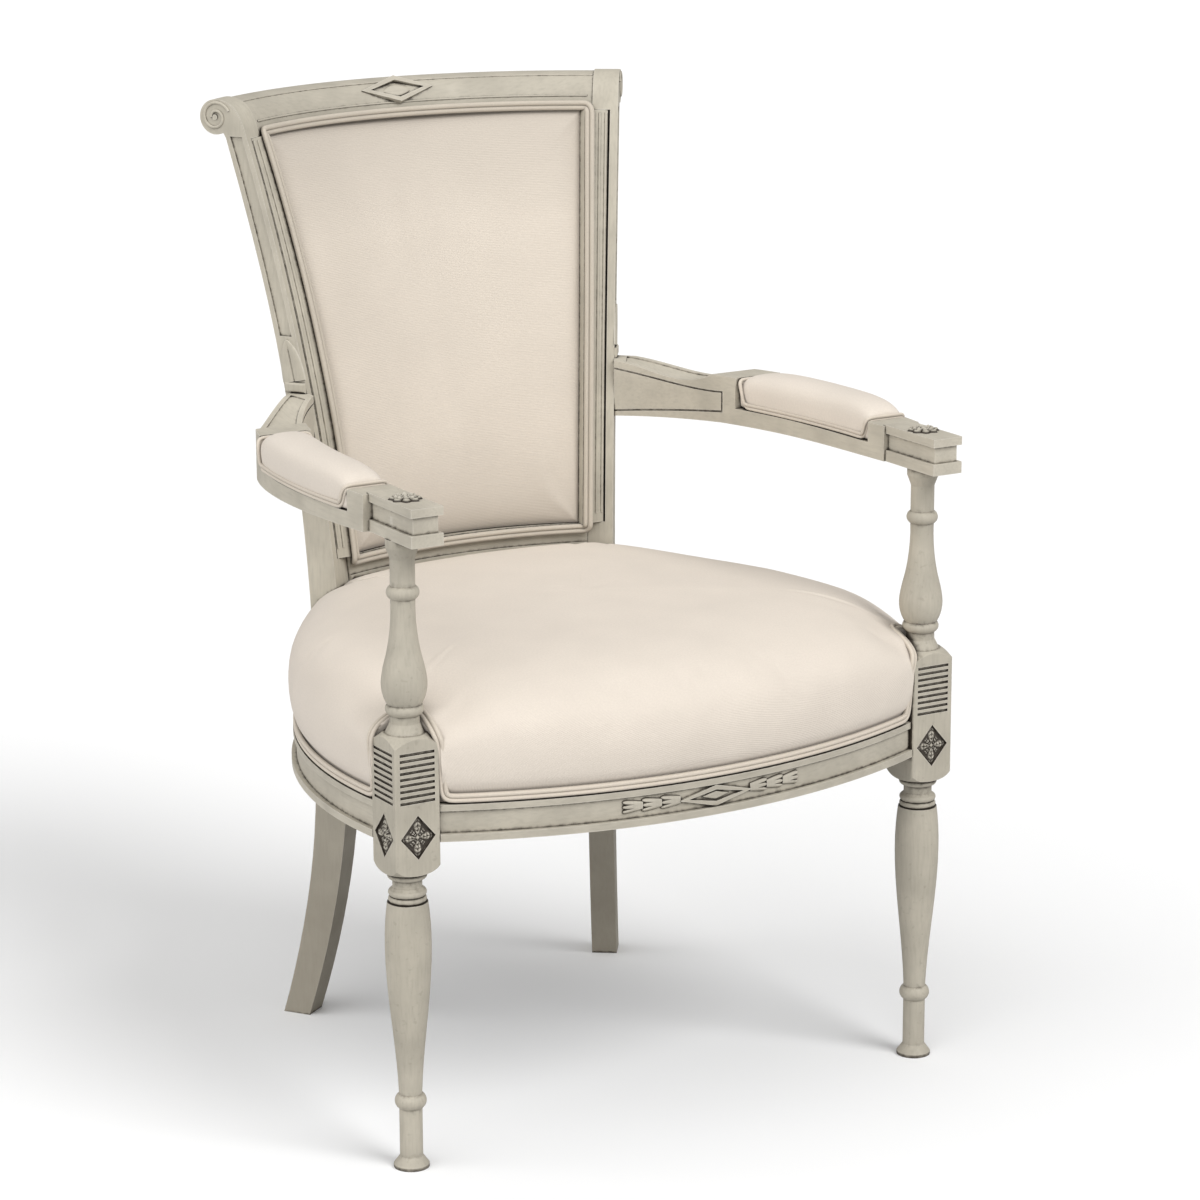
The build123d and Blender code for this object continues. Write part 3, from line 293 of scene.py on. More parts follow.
def slab(front: Array, back: Array) -> Surface:
    """Closed layer between two sheets of points, its ends run together halfway between them.

    Args:
        front: Points of the front sheet, rows by columns.
        back: Points of the back sheet, in the same order.

    Returns:
        The layer's surface, with the width and height of its points as pattern coordinates.
    """
    ring = np.concatenate([front, back[:, ::-1]], axis=1)
    middle = (front + back) / 2
    ends = np.concatenate([middle, middle[:, ::-1]], axis=1)
    rows = np.concatenate([ends[:1], ring, ends[-1:]])
    return Surface(rows, True, rows[..., [0, 2]])


def circle_through(a: Array, b: Array, c: Array) -> tuple[Array, float]:
    """Circle through three plan points.

    Args:
        a: First point.
        b: Second point.
        c: Third point.

    Returns:
        Centre and radius.
    """
    rows = 2 * np.array([b - a, c - a])
    centre = np.linalg.solve(rows, np.array([b @ b - a @ a, c @ c - a @ a]))
    return centre, float(np.linalg.norm(a - centre))


def ease(value: Array, low: float, high: float) -> Array:
    """Smooth step from 0 to 1.

    Args:
        value: Values.
        low: Value at which it starts to rise.
        high: Value at which it is 1.

    Returns:
        Cubic blend of each value.
    """
    part = np.clip((np.asarray(value) - low) / (high - low), 0.0, 1.0)
    return part * part * (3 - 2 * part)


def ray_entry(start: tuple[float, float], run: tuple[Array, Array], low: tuple, high: tuple) -> Array:
    """Distance at which rays enter a rectangle, taken as where they are inside both of its pairs of sides.

    Args:
        start: Point the rays start from.
        run: Direction of the rays along the two sides.
        low: Lower bounds along the two sides.
        high: Upper bounds along the two sides.

    Returns:
        Distances, infinite where a ray misses.
    """
    near, far = -np.inf, np.inf
    for place, way, bottom, top in zip(start, run, low, high):
        way = np.where(np.abs(way) < 1e-9, 1e-9, way)
        first, second = (bottom - place) / way, (top - place) / way
        near = np.maximum(near, np.minimum(first, second))
        far = np.minimum(far, np.maximum(first, second))
    return np.where((near <= far) & (near > 0), near, np.inf)


def front_edge(z: Array) -> Array:
    """Distance of the back posts' front edge from the back axis, a power curve above the knee.

    Args:
        z: Heights.

    Returns:
        Distances.
    """
    part = np.clip((np.asarray(z) - KNEE_Z) / (CREST_Z - KNEE_Z), 0.0, None)
    return KNEE_REACH + CREST_SPREAD * part**POST_POWER


# Finishes


def shade(colour: Colour, part: float) -> Colour:
    """Darker form of a colour.

    Args:
        colour: Colour.
        part: Share of its light that is kept.

    Returns:
        The darker colour.
    """
    return tuple(c * part for c in colour)


class Bench:
    """Node tree of one new material, with short ways to add nodes to it."""

    def __init__(self, name: str) -> None:
        """Start an empty material.

        Args:
            name: Name of the material.
        """
        self.material = bpy.data.materials.new(name)
        self.material.use_nodes = True
        self.tree = self.material.node_tree
        self.tree.nodes.clear()

    def add(self, kind: str, inputs: dict | None = None, **settings: object) -> bpy.types.Node:
        """Add a node.

        Args:
            kind: Type of the node.
            inputs: Value or other node's socket for each input that is set.
            **settings: Properties of the node.

        Returns:
            The node.
        """
        node = self.tree.nodes.new(kind)
        for key, value in settings.items():
            setattr(node, key, value)
        for key, value in (inputs or {}).items():
            if isinstance(value, Socket):
                self.tree.links.new(value, node.inputs[key])
            else:
                node.inputs[key].default_value = value
        return node

    def place(self, coords: str = "Object") -> Socket:
        """Coordinates that a pattern is laid out in.

        Args:
            coords: Kind of coordinates.

        Returns:
            The coordinates.
        """
        return self.add("ShaderNodeTexCoord").outputs[coords]

    def axis(self, vector: Socket, name: str) -> Socket:
        """One coordinate of a place.

        Args:
            vector: Coordinates.
            name: Axis, as a capital letter.

        Returns:
            The coordinate.
        """
        return self.add("ShaderNodeSeparateXYZ", {0: vector}).outputs[name]

    def math(self, operation: str, first: Socket, second: Socket) -> Socket:
        """Two values put together.

        Args:
            operation: Way they are put together.
            first: First value.
            second: Second value.

        Returns:
            The result.
        """
        return self.add("ShaderNodeMath", {0: first, 1: second}, operation=operation).outputs[0]

    def occlusion(self, distance: float, samples: int = 8, **settings: object) -> Socket:
        """How open the surface is within a distance.

        Args:
            distance: Distance in metres.
            samples: Rays for each point.
            **settings: Further properties of the node.

        Returns:
            The open share, from 0 to 1.
        """
        inputs = {"Distance": distance}
        return self.add("ShaderNodeAmbientOcclusion", inputs, samples=samples, **settings).outputs["AO"]

    def noise(self, vector: Socket, scale: float, detail: float) -> Socket:
        """Cloudy pattern.

        Args:
            vector: Coordinates.
            scale: Clouds per metre.
            detail: Octaves of finer clouds.

        Returns:
            Its strength, from 0 to 1.
        """
        node = self.add("ShaderNodeTexNoise", {"Vector": vector, "Scale": scale, "Detail": detail})
        return node.outputs["Fac"]

    def ramp(self, value: Socket, low: float, high: float, start: float, end: float) -> Socket:
        """Value carried over from one range to another and held at its ends.

        Args:
            value: Value to carry over.
            low: Start of its range.
            high: End of its range.
            start: Result at the start.
            end: Result at the end.

        Returns:
            The result.
        """
        inputs = {"Value": value, "From Min": low, "From Max": high, "To Min": start, "To Max": end}
        return self.add("ShaderNodeMapRange", inputs).outputs["Result"]

    def mix(self, part: object, first: object, second: object) -> Socket:
        """Mix of two colours.

        Args:
            part: Share of the second.
            first: First colour or socket.
            second: Second colour or socket.

        Returns:
            The mixed colour.
        """
        pair = [(*c, 1.0) if isinstance(c, tuple) else c for c in (first, second)]
        inputs = {"Fac": part, "Color1": pair[0], "Color2": pair[1]}
        return self.add("ShaderNodeMixRGB", inputs).outputs["Color"]

    def bump(self, height: Socket, distance: float, normal: Socket | None = None) -> Socket:
        """Normal turned by a height pattern.

        Args:
            height: Pattern from 0 to 1.
            distance: Height of the pattern in metres.
            normal: Normal it is laid on.

        Returns:
            The turned normal.
        """
        inputs = {"Height": height, "Distance": distance, "Strength": 1.0}
        if normal is not None:
            inputs["Normal"] = normal
        return self.add("ShaderNodeBump", inputs).outputs["Normal"]

    def close(self, inputs: dict) -> Material:
        """End the tree in one surface shader.

        Args:
            inputs: Inputs of the shader.

        Returns:
            The material.
        """
        shader = self.add("ShaderNodeBsdfPrincipled", inputs)
        self.add("ShaderNodeOutputMaterial", {"Surface": shader.outputs["BSDF"]})
        return self.material


@dataclass(frozen=True)
class PaintFinish:
    """Brushed antique paint: wax in hollows, paler edges of wear and painted highlight, painted shade in
    corners.
    """

    name: str
    grain: Grain
    colour: Colour = (0.478, 0.440, 0.362)
    wax: Colour = (0.030, 0.022, 0.015)
    # Colour of the painted shade laid into corners and toward the floor
    shade_tone: Colour = (0.235, 0.205, 0.160)
    # Paler edge colour: partly rubbed wear, partly a painted highlight
    wear_and_highlight: Colour = (0.62, 0.585, 0.515)
    cloud_scale: float = 26.0
    fine_scale: float = 190.0
    brush_scale: float = 420.0
    edge_depth: float = 0.0014
    # Reach of the painted shade in corners and between parts
    corner_shade_depth: float = 0.022
    hollow: float = 0.0042
    open_at: float = 0.84
    filled_at: float = 0.46
    # Strength of the painted shade in corners and between parts
    corner_shade: float = 0.30
    # Painted shade toward the floor, standing for the shade under the seat: its strength, and the heights
    # where it starts and is full
    shade_below: float = 0.0
    shade_below_top: float = 0.42
    shade_below_foot: float = 0.12
    carved: bool = False

    def build(self) -> Material:
        """Make the material: clouds, streaks, edges paled by wear and painted highlight, painted shade, and
        wax in hollows and carved valleys.

        Returns:
            The material.
        """
        bench = Bench(self.name)
        place = bench.place()
        streaks = bench.add("ShaderNodeMapping", {"Vector": place, "Scale": self.grain.value})
        cloud = bench.noise(place, self.cloud_scale, 6.0)
        fine = bench.noise(place, self.fine_scale, 4.0)
        brush = bench.noise(streaks.outputs["Vector"], self.brush_scale, 3.0)
        tone = bench.mix(bench.ramp(cloud, 0.3, 0.72, 0.0, 1.0), self.colour, shade(self.colour, 0.80))
        tone = bench.mix(bench.ramp(brush, 0.45, 0.75, 0.0, 0.35), tone, shade(self.colour, 0.66))
        # Paler edges: rubbed wear broken up by noise, and a painted highlight on convex edges
        edge = bench.occlusion(self.edge_depth, inside=True, only_local=True)
        pale_edge, chipped = bench.ramp(edge, 0.85, 0.45, 0.0, 0.85), bench.ramp(fine, 0.35, 0.60, 0.35, 1.0)
        tone = bench.mix(bench.math("MULTIPLY", pale_edge, chipped), tone, self.wear_and_highlight)
        # Painted shade in corners and where parts meet
        broad = bench.occlusion(self.corner_shade_depth)
        tone = bench.mix(bench.ramp(broad, 0.70, 0.20, 0.0, self.corner_shade), tone, self.shade_tone)
        # Painted shade that grows toward the floor
        if self.shade_below:
            low = bench.ramp(bench.axis(place, "Z"), self.shade_below_top, self.shade_below_foot, 0.0, self.shade_below)
            tone = bench.mix(low, tone, self.shade_tone)
        hollow = bench.occlusion(self.hollow, samples=12)
        worn = bench.math("ADD", bench.ramp(fine, 0.3, 0.7, -0.12, 0.12), hollow)
        tone = bench.mix(bench.ramp(worn, self.open_at, self.filled_at, 0.0, 0.96), tone, self.wax)
        if self.carved:
            height = bench.axis(bench.place("UV"), "Y")
            tone = bench.mix(bench.ramp(height, 0.52, 0.24, 0.0, 0.96), tone, self.wax)
        normal = bench.bump(brush, 0.00018)
        normal = bench.bump(cloud, 0.0006, normal)
        return bench.close({
            "Base Color": tone,
            "Roughness": bench.ramp(cloud, 0.3, 0.7, 0.52, 0.68),
            "Specular IOR Level": 0.35,
            "Normal": normal,
        })


@dataclass(frozen=True)
class FabricFinish:
    """Cloth with a fine rib along its width and a soft sheen."""

    name: str
    colour: Colour
    rib: float = 196.0
    relief: float = 0.00010
    thread_scale: float = 900.0
    slub_scale: float = 420.0
    cloud_scale: float = 14.0
    # Reach of the painted shade in creases and near parts that stand over the cloth
    crease_shade_depth: float = 0.022
    # Whether the cloth takes painted shade toward the back panel's top and bottom
    end_shade: bool = False

    def build(self) -> Material:
        """Make the material: clouds, ribs, threads and slubs, then painted shade in creases and at a back
        panel's top and bottom.

        Returns:
            The material.
        """
        bench = Bench(self.name)
        place = bench.place("UV")
        wave = bench.add(
            "ShaderNodeTexWave",
            {"Vector": place, "Scale": self.rib, "Distortion": 0.6, "Detail": 1.0, "Detail Scale": 0.4},
            bands_direction="Y",
        ).outputs["Fac"]
        thread = bench.noise(place, self.thread_scale, 2.0)
        cloud = bench.noise(place, self.cloud_scale, 4.0)
        slub = bench.noise(place, self.slub_scale, 3.0)
        tone = bench.mix(bench.ramp(cloud, 0.3, 0.7, 0.0, 1.0), self.colour, shade(self.colour, 0.94))
        # Painted shade in creases and near parts that stand over the cloth
        crease = bench.occlusion(self.crease_shade_depth)
        layers = [
            (bench.ramp(wave, 0.0, 0.5, 0.10, 0.0), 0.80),
            (bench.ramp(thread, 0.35, 0.65, 0.20, 0.0), 0.76),
            (bench.ramp(slub, 0.38, 0.62, 0.24, 0.0), 0.82),
            (bench.ramp(crease, 0.90, 0.35, 0.0, 0.60), 0.42),
        ]
        # Painted shade darkening the back panel toward its top and its bottom
        if self.end_shade:
            height = bench.axis(bench.place(), "Z")
            layers.append((bench.ramp(height, 0.78, 0.885, 0.0, 0.48), 0.58))
            layers.append((bench.ramp(height, 0.58, 0.475, 0.0, 0.44), 0.58))
        for part, dark in layers:
            tone = bench.mix(part, tone, shade(self.colour, dark))
        normal = bench.bump(wave, self.relief)
        normal = bench.bump(thread, self.relief / 2, normal)
        return bench.close({
            "Base Color": tone,
            "Roughness": 0.9,
            "Specular IOR Level": 0.2,
            "Sheen Weight": 0.12,
            "Sheen Roughness": 0.5,
            "Normal": normal,
        })


@dataclass(frozen=True)
class WeaveFinish:
    """Coarse plain weave: two sets of bands crossing, with loose threads."""

    name: str
    colour: Colour
    pitch: float = 110.0

    def build(self) -> Material:
        """Make the material.

        Returns:
            The material.
        """
        bench = Bench(self.name)
        place = bench.place()
        inputs = {"Vector": place, "Scale": self.pitch}
        waves = [bench.add("ShaderNodeTexWave", inputs, bands_direction=way) for way in ("X", "Y")]
        cross = bench.math("MULTIPLY", waves[0].outputs["Fac"], waves[1].outputs["Fac"])
        thread = bench.noise(place, 500.0, 3.0)
        tone = bench.mix(bench.ramp(cross, 0.0, 0.6, 0.5, 0.0), self.colour, shade(self.colour, 0.55))
        tone = bench.mix(bench.ramp(thread, 0.35, 0.65, 0.25, 0.0), tone, shade(self.colour, 0.6))
        return bench.close({"Base Color": tone, "Roughness": 0.92, "Normal": bench.bump(cross, 0.0003)})


@dataclass(frozen=True)
class BareWoodFinish:
    """Unpainted wood with stretched grain lines."""

    name: str
    colour: Colour

    def build(self) -> Material:
        """Make the material.

        Returns:
            The material.
        """
        bench = Bench(self.name)
        place = bench.place()
        along = bench.add("ShaderNodeMapping", {"Vector": place, "Scale": (0.08, 1.0, 1.0)}).outputs["Vector"]
        grain = bench.noise(along, 260.0, 5.0)
        tone = bench.mix(bench.ramp(grain, 0.35, 0.65, 0.0, 0.7), self.colour, shade(self.colour, 0.6))
        return bench.close({"Base Color": tone, "Roughness": 0.62, "Normal": bench.bump(grain, 0.0002)})


@dataclass(frozen=True)
class SteelFinish:
    """Bright turned steel with fine scratches."""

    name: str
    colour: Colour

    def build(self) -> Material:
        """Make the material.

        Returns:
            The material.
        """
        bench = Bench(self.name)
        place = bench.place()
        scratch = bench.noise(place, 1500.0, 2.0)
        tone = bench.mix(bench.ramp(scratch, 0.4, 0.6, 0.0, 0.5), self.colour, shade(self.colour, 0.8))
        return bench.close({
            "Base Color": tone,
            "Metallic": 1.0,
            "Roughness": bench.ramp(scratch, 0.4, 0.6, 0.3, 0.45),
        })


class Palette:
    """The finishes of the chair, made once."""

    def __init__(self) -> None:
        """Make all finishes."""
        # One paint covers the whole chair: these copies and the turned one differ in tone as painted light
        # and shade, each lightened or darkened for how brightly its parts are lit
        self.paint = {
            Grain.UPRIGHT: PaintFinish(
                "antique_paint_upright", Grain.UPRIGHT, colour=(0.540, 0.498, 0.410),
                # Its last value darkens the uprights toward the floor as painted shade
                open_at=0.76, filled_at=0.40, shade_below=0.60,
            ).build(),
            Grain.ACROSS: PaintFinish(
                "antique_paint_across", Grain.ACROSS, colour=(0.500, 0.460, 0.380),
                # Its last value weakens the painted shade in corners
                open_at=0.86, filled_at=0.50, hollow=0.0035, corner_shade=0.14,
            ).build(),
            Grain.LENGTHWISE: PaintFinish(
                "antique_paint_lengthwise", Grain.LENGTHWISE, colour=(0.555, 0.511, 0.423),
                open_at=0.80, filled_at=0.44,
            ).build(),
        }
        self.turned = PaintFinish(
            "antique_paint_turned", Grain.UPRIGHT, colour=(0.490, 0.450, 0.370),
            open_at=0.93, filled_at=0.54, hollow=0.007,
        ).build()
        self.carved = PaintFinish(
            "antique_paint_carved", Grain.UPRIGHT, colour=(0.50, 0.462, 0.385), carved=True
        ).build()
        # One cloth covers the chair: the back's copy is darker as painted shade, with more painted shade at
        # its top and bottom, and the main copy on seat, arms and outside back is lighter as painted light;
        # the back's cord is a darker copy of the cord
        self.shaded_back_fabric = FabricFinish("cream_rib_back_shaded", (0.700, 0.628, 0.541), end_shade=True).build()
        self.fabric = FabricFinish("cream_rib", (0.760, 0.684, 0.598)).build()
        self.back_welt = FabricFinish("cream_cord_back", (0.585, 0.525, 0.440), rib=330.0).build()
        self.welt = FabricFinish("cream_cord", (0.690, 0.615, 0.520), rib=330.0).build()
        self.stuffing = WeaveFinish("hair_stuffing", (0.42, 0.33, 0.22), 40.0).build()
        self.webbing = WeaveFinish("jute_webbing", (0.42, 0.33, 0.20)).build()
        self.black = WeaveFinish("black_cambric", (0.05, 0.05, 0.05), 240.0).build()
        self.wood = BareWoodFinish("bare_beech", (0.52, 0.37, 0.22)).build()
        self.steel = SteelFinish("screw_steel", (0.52, 0.51, 0.49)).build()


def register(piece: Piece, material: Material, replaced: tuple[str, ...] = ()) -> None:
    """Give a piece its finish, hang it under the body's empty and hide the model nodes it stands for.

    Args:
        piece: Object to register.
        material: Finish.
        replaced: Model nodes that it stands for.
    """
    piece.data.materials.append(material)
    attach(piece, BODY)
    if replaced:
        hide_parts(*replaced)


@dataclass(frozen=True)
class ClothPuff:
    """Short cloth simulation that presses a closed cover out against its held edges."""

    pressure: float = 4.0
    frames: int = 12
    cap: float = 0.003

    def apply(self, piece: Piece, held: Array) -> None:
        """Run the simulation and keep its result, with no point moved further than the cap.

        Args:
            piece: Cover.
            held: Whether each of its points stays where it is.
        """
        group = piece.vertex_groups.new(name="held")
        group.add(np.flatnonzero(held).tolist(), 1.0, "REPLACE")
        cloth = piece.modifiers.new("puff", "CLOTH")
        cloth.settings.quality = 6
        cloth.settings.mass = 0.3
        cloth.settings.tension_stiffness = 25.0
        cloth.settings.compression_stiffness = 25.0
        cloth.settings.bending_stiffness = 2.0
        cloth.settings.vertex_group_mass = group.name
        cloth.settings.use_pressure = True
        cloth.settings.uniform_pressure_force = self.pressure
        cloth.settings.effector_weights.gravity = 0.0
        cloth.collision_settings.use_collision = False
        cloth.point_cache.frame_start = 1
        cloth.point_cache.frame_end = self.frames
        rest = np.zeros(len(piece.data.vertices) * 3, dtype=np.float32)
        piece.data.vertices.foreach_get("co", rest)
        for step in range(1, self.frames + 1):
            bpy.context.scene.frame_set(step)
        shown = piece.evaluated_get(bpy.context.evaluated_depsgraph_get())
        moved = np.zeros_like(rest)
        shown.data.vertices.foreach_get("co", moved)
        piece.modifiers.remove(cloth)
        piece.vertex_groups.remove(group)
        bpy.context.scene.frame_set(1)
        rest, moved = rest.reshape(-1, 3), moved.reshape(-1, 3)
        shift = np.nan_to_num(moved - rest)
        length = np.maximum(np.linalg.norm(shift, axis=1, keepdims=True), 1e-9)
        shift *= self.cap * np.tanh(length / self.cap) / length
        shift[held] = 0.0
        piece.data.vertices.foreach_set("co", (rest + shift).astype(np.float32).ravel())
        piece.data.update()
        LOG.info("%s pressed out by up to %.1f mm", piece.name, 1000 * np.linalg.norm(shift, axis=1).max())


def piece_points(piece: Piece) -> Array:
    """Points of a piece's mesh.

    Args:
        piece: Object.

    Returns:
        One row for each point.
    """
    points = np.zeros(len(piece.data.vertices) * 3, dtype=np.float32)
    piece.data.vertices.foreach_get("co", points)
    return points.reshape(-1, 3).astype(float)


# Seat


@dataclass
class SeatPlan:
    """Plan of the seat as distances from a hub inside it: four arcs of the rails, cut by blocks and posts."""

    hub_y: float = -0.075
    side_front: tuple[float, float] = (0.2965, -0.2205)
    side_rear: tuple[float, float] = (0.1719, 0.1471)
    side_bow: float = 0.0419
    rear_end: tuple[float, float] = (0.1719, 0.1571)
    rear_middle: float = 0.181
    front_centre: float = 0.2732
    front_radius: float = 0.5912
    block_half: float = 0.0225
    past_post: float = 0.32

    def __post_init__(self) -> None:
        """Find the circles that the rails' outer faces lie on."""
        start, end = np.array(self.side_front), np.array(self.side_rear)
        run = end - start
        mid = (start + end) / 2 + unit(np.array([run[1], -run[0]])) * self.side_bow
        side, side_radius = circle_through(start, mid, end)
        corner = np.array(self.rear_end)
        rear, rear_radius = circle_through(corner, np.array([0.0, self.rear_middle]), corner * [-1.0, 1.0])
        self.circles = [
            (0.0, self.front_centre, self.front_radius),
            (side[0], side[1], side_radius),
            (-side[0], side[1], side_radius),
            (rear[0], rear[1], rear_radius),
        ]

    def edge(self, turn: Array, reach: Array) -> Array:
        """Distance from the hub to the rails' faces, grown outward: the nearest crossing with the circles.

        Args:
            turn: Angles from the front toward +x.
            reach: Growth of the faces.

        Returns:
            Distances.
        """
        way = np.stack([np.sin(turn), -np.cos(turn)])
        nearest = np.inf
        for x, y, radius in self.circles:
            from_x, from_y = -x, self.hub_y - y
            across = way[0] * from_x + way[1] * from_y
            root = across**2 - from_x**2 - from_y**2 + (radius + reach) ** 2
            nearest = np.minimum(nearest, np.sqrt(np.maximum(root, 0.0)) - across)
        return nearest

    def block(self, turn: Array, gap: Array) -> Array:
        """Distance from the hub to the front leg blocks, infinite where a ray misses them.

        Args:
            turn: Angles from the front toward +x.
            gap: Growth of the blocks.

        Returns:
            Distances.
        """
        half = self.block_half + gap
        way = (np.abs(np.sin(turn)), -np.cos(turn))
        low, high = (LEG_X - half, FRONT_Y - half), (LEG_X + half, FRONT_Y + half)
        return ray_entry((0.0, self.hub_y), way, low, high)

    def post(self, turn: Array, z: Array, gap: Array) -> Array:
        """Distance from the hub to the back posts' planks, infinite where a ray misses them.

        Args:
            turn: Angles from the front toward +x.
            z: Heights.
            gap: Growth of the planks.

        Returns:
            Distances.
        """
        sin_a, cos_a = np.sin(POST_ANGLE), np.cos(POST_ANGLE)
        way_x, way_y = np.abs(np.sin(turn)), -np.cos(turn)
        drop = self.hub_y - AXIS_Y
        start = (drop * cos_a, -drop * sin_a)
        way = (way_x * sin_a + way_y * cos_a, way_x * cos_a - way_y * sin_a)
        low, high = (front_edge(z) - 2 * gap, -gap), (self.past_post, POST_THICKNESS + gap)
        return ray_entry(start, way, low, high)

    def radius(self, turn: Array, z: Array, reach: Array, gap: Array, blend: float) -> Array:
        """Distance from the hub to the seat's edge: the lesser of rails and notches, eased where they meet.

        Args:
            turn: Angles from the front toward +x.
            z: Heights.
            reach: Growth of the rails' faces.
            gap: Clearance to blocks and posts, of which the posts keep at least the soft gap.
            blend: Width over which the two are blended.

        Returns:
            Distances.
        """
        rails = self.edge(turn, reach)
        notch = np.minimum(self.block(turn, gap), self.post(turn, z, np.maximum(gap, SOFT_GAP)))
        notch = np.where(np.isfinite(notch), notch, rails + 1.0)
        part = np.clip(0.5 + 0.5 * (notch - rails) / blend, 0.0, 1.0)
        return notch * (1 - part) + rails * part - blend * part * (1 - part)

    def facing(self, turn: Array) -> Array:
        """Outward plan direction of the rails' face that each ray meets.

        Args:
            turn: Angles from the front toward +x.

        Returns:
            Unit directions, with no height.
        """
        point = self.points(turn, self.edge(turn, 0.0), 0.0)
        ways = np.stack([(point[:, :2] - (x, y)) / radius for x, y, radius in self.circles])
        off = np.abs(np.linalg.norm(ways, axis=2) - 1) * np.array([[radius] for _, _, radius in self.circles])
        best = ways[off.argmin(axis=0), np.arange(len(turn))]
        return np.column_stack([best, np.zeros(len(turn))])

    def turns(self, count: int) -> Array:
        """Angles whose points on the seat's edge are evenly spaced.

        Args:
            count: Number of angles.

        Returns:
            The angles.
        """
        turn = np.linspace(0.0, 2 * np.pi, 8001)
        reach = self.radius(turn, np.full_like(turn, 0.40), 0.0, SOFT_GAP, 0.002)
        x, y = reach * np.sin(turn), -reach * np.cos(turn)
        along = np.concatenate([[0.0], np.cumsum(np.hypot(np.diff(x), np.diff(y)))])
        return np.interp(np.linspace(0.0, along[-1], count, endpoint=False), along, turn)

    def points(self, turn: Array, radius: Array, z: Array) -> Array:
        """Points given by angle, distance from the hub and height.

        Args:
            turn: Angles from the front toward +x.
            radius: Distances.
            z: Heights.

        Returns:
            Points along the last axis.
        """
        x, y = radius * np.sin(turn), self.hub_y - radius * np.cos(turn)
        return np.stack(np.broadcast_arrays(x, y, z), axis=-1)

    def polar(self, points: Array) -> tuple[Array, Array]:
        """Angles and distances of points about the hub.

        Args:
            points: Points, one for each row.

        Returns:
            Angles from the front toward +x, and distances.
        """
        x, y = points[:, 0], points[:, 1] - self.hub_y
        return np.arctan2(x, -y), np.hypot(x, y)

    def rings(self, rows: Array, turn: Array, blend: float, reach: Array | None = None) -> Surface:
        """Closed surface of rings round the hub.

        Args:
            rows: Height, growth, clearance and share of the distance for each ring.
            turn: Angles of the columns.
            blend: Width over which rails and notches are blended.
            reach: Growth for each ring and column, where it isn't the same all round.

        Returns:
            The surface, with plan coordinates pushed out by the drop below the top as its pattern.
        """
        z, even, gap, share = (rows[:, k : k + 1] for k in range(4))
        radius = self.radius(turn[None, :], z, even if reach is None else reach, gap, blend) * share
        points = self.points(turn[None, :], radius, z)
        flat = self.points(turn[None, :], radius + (rows[:, 0].max() - z), z)
        return Surface(points, True, flat[..., :2])


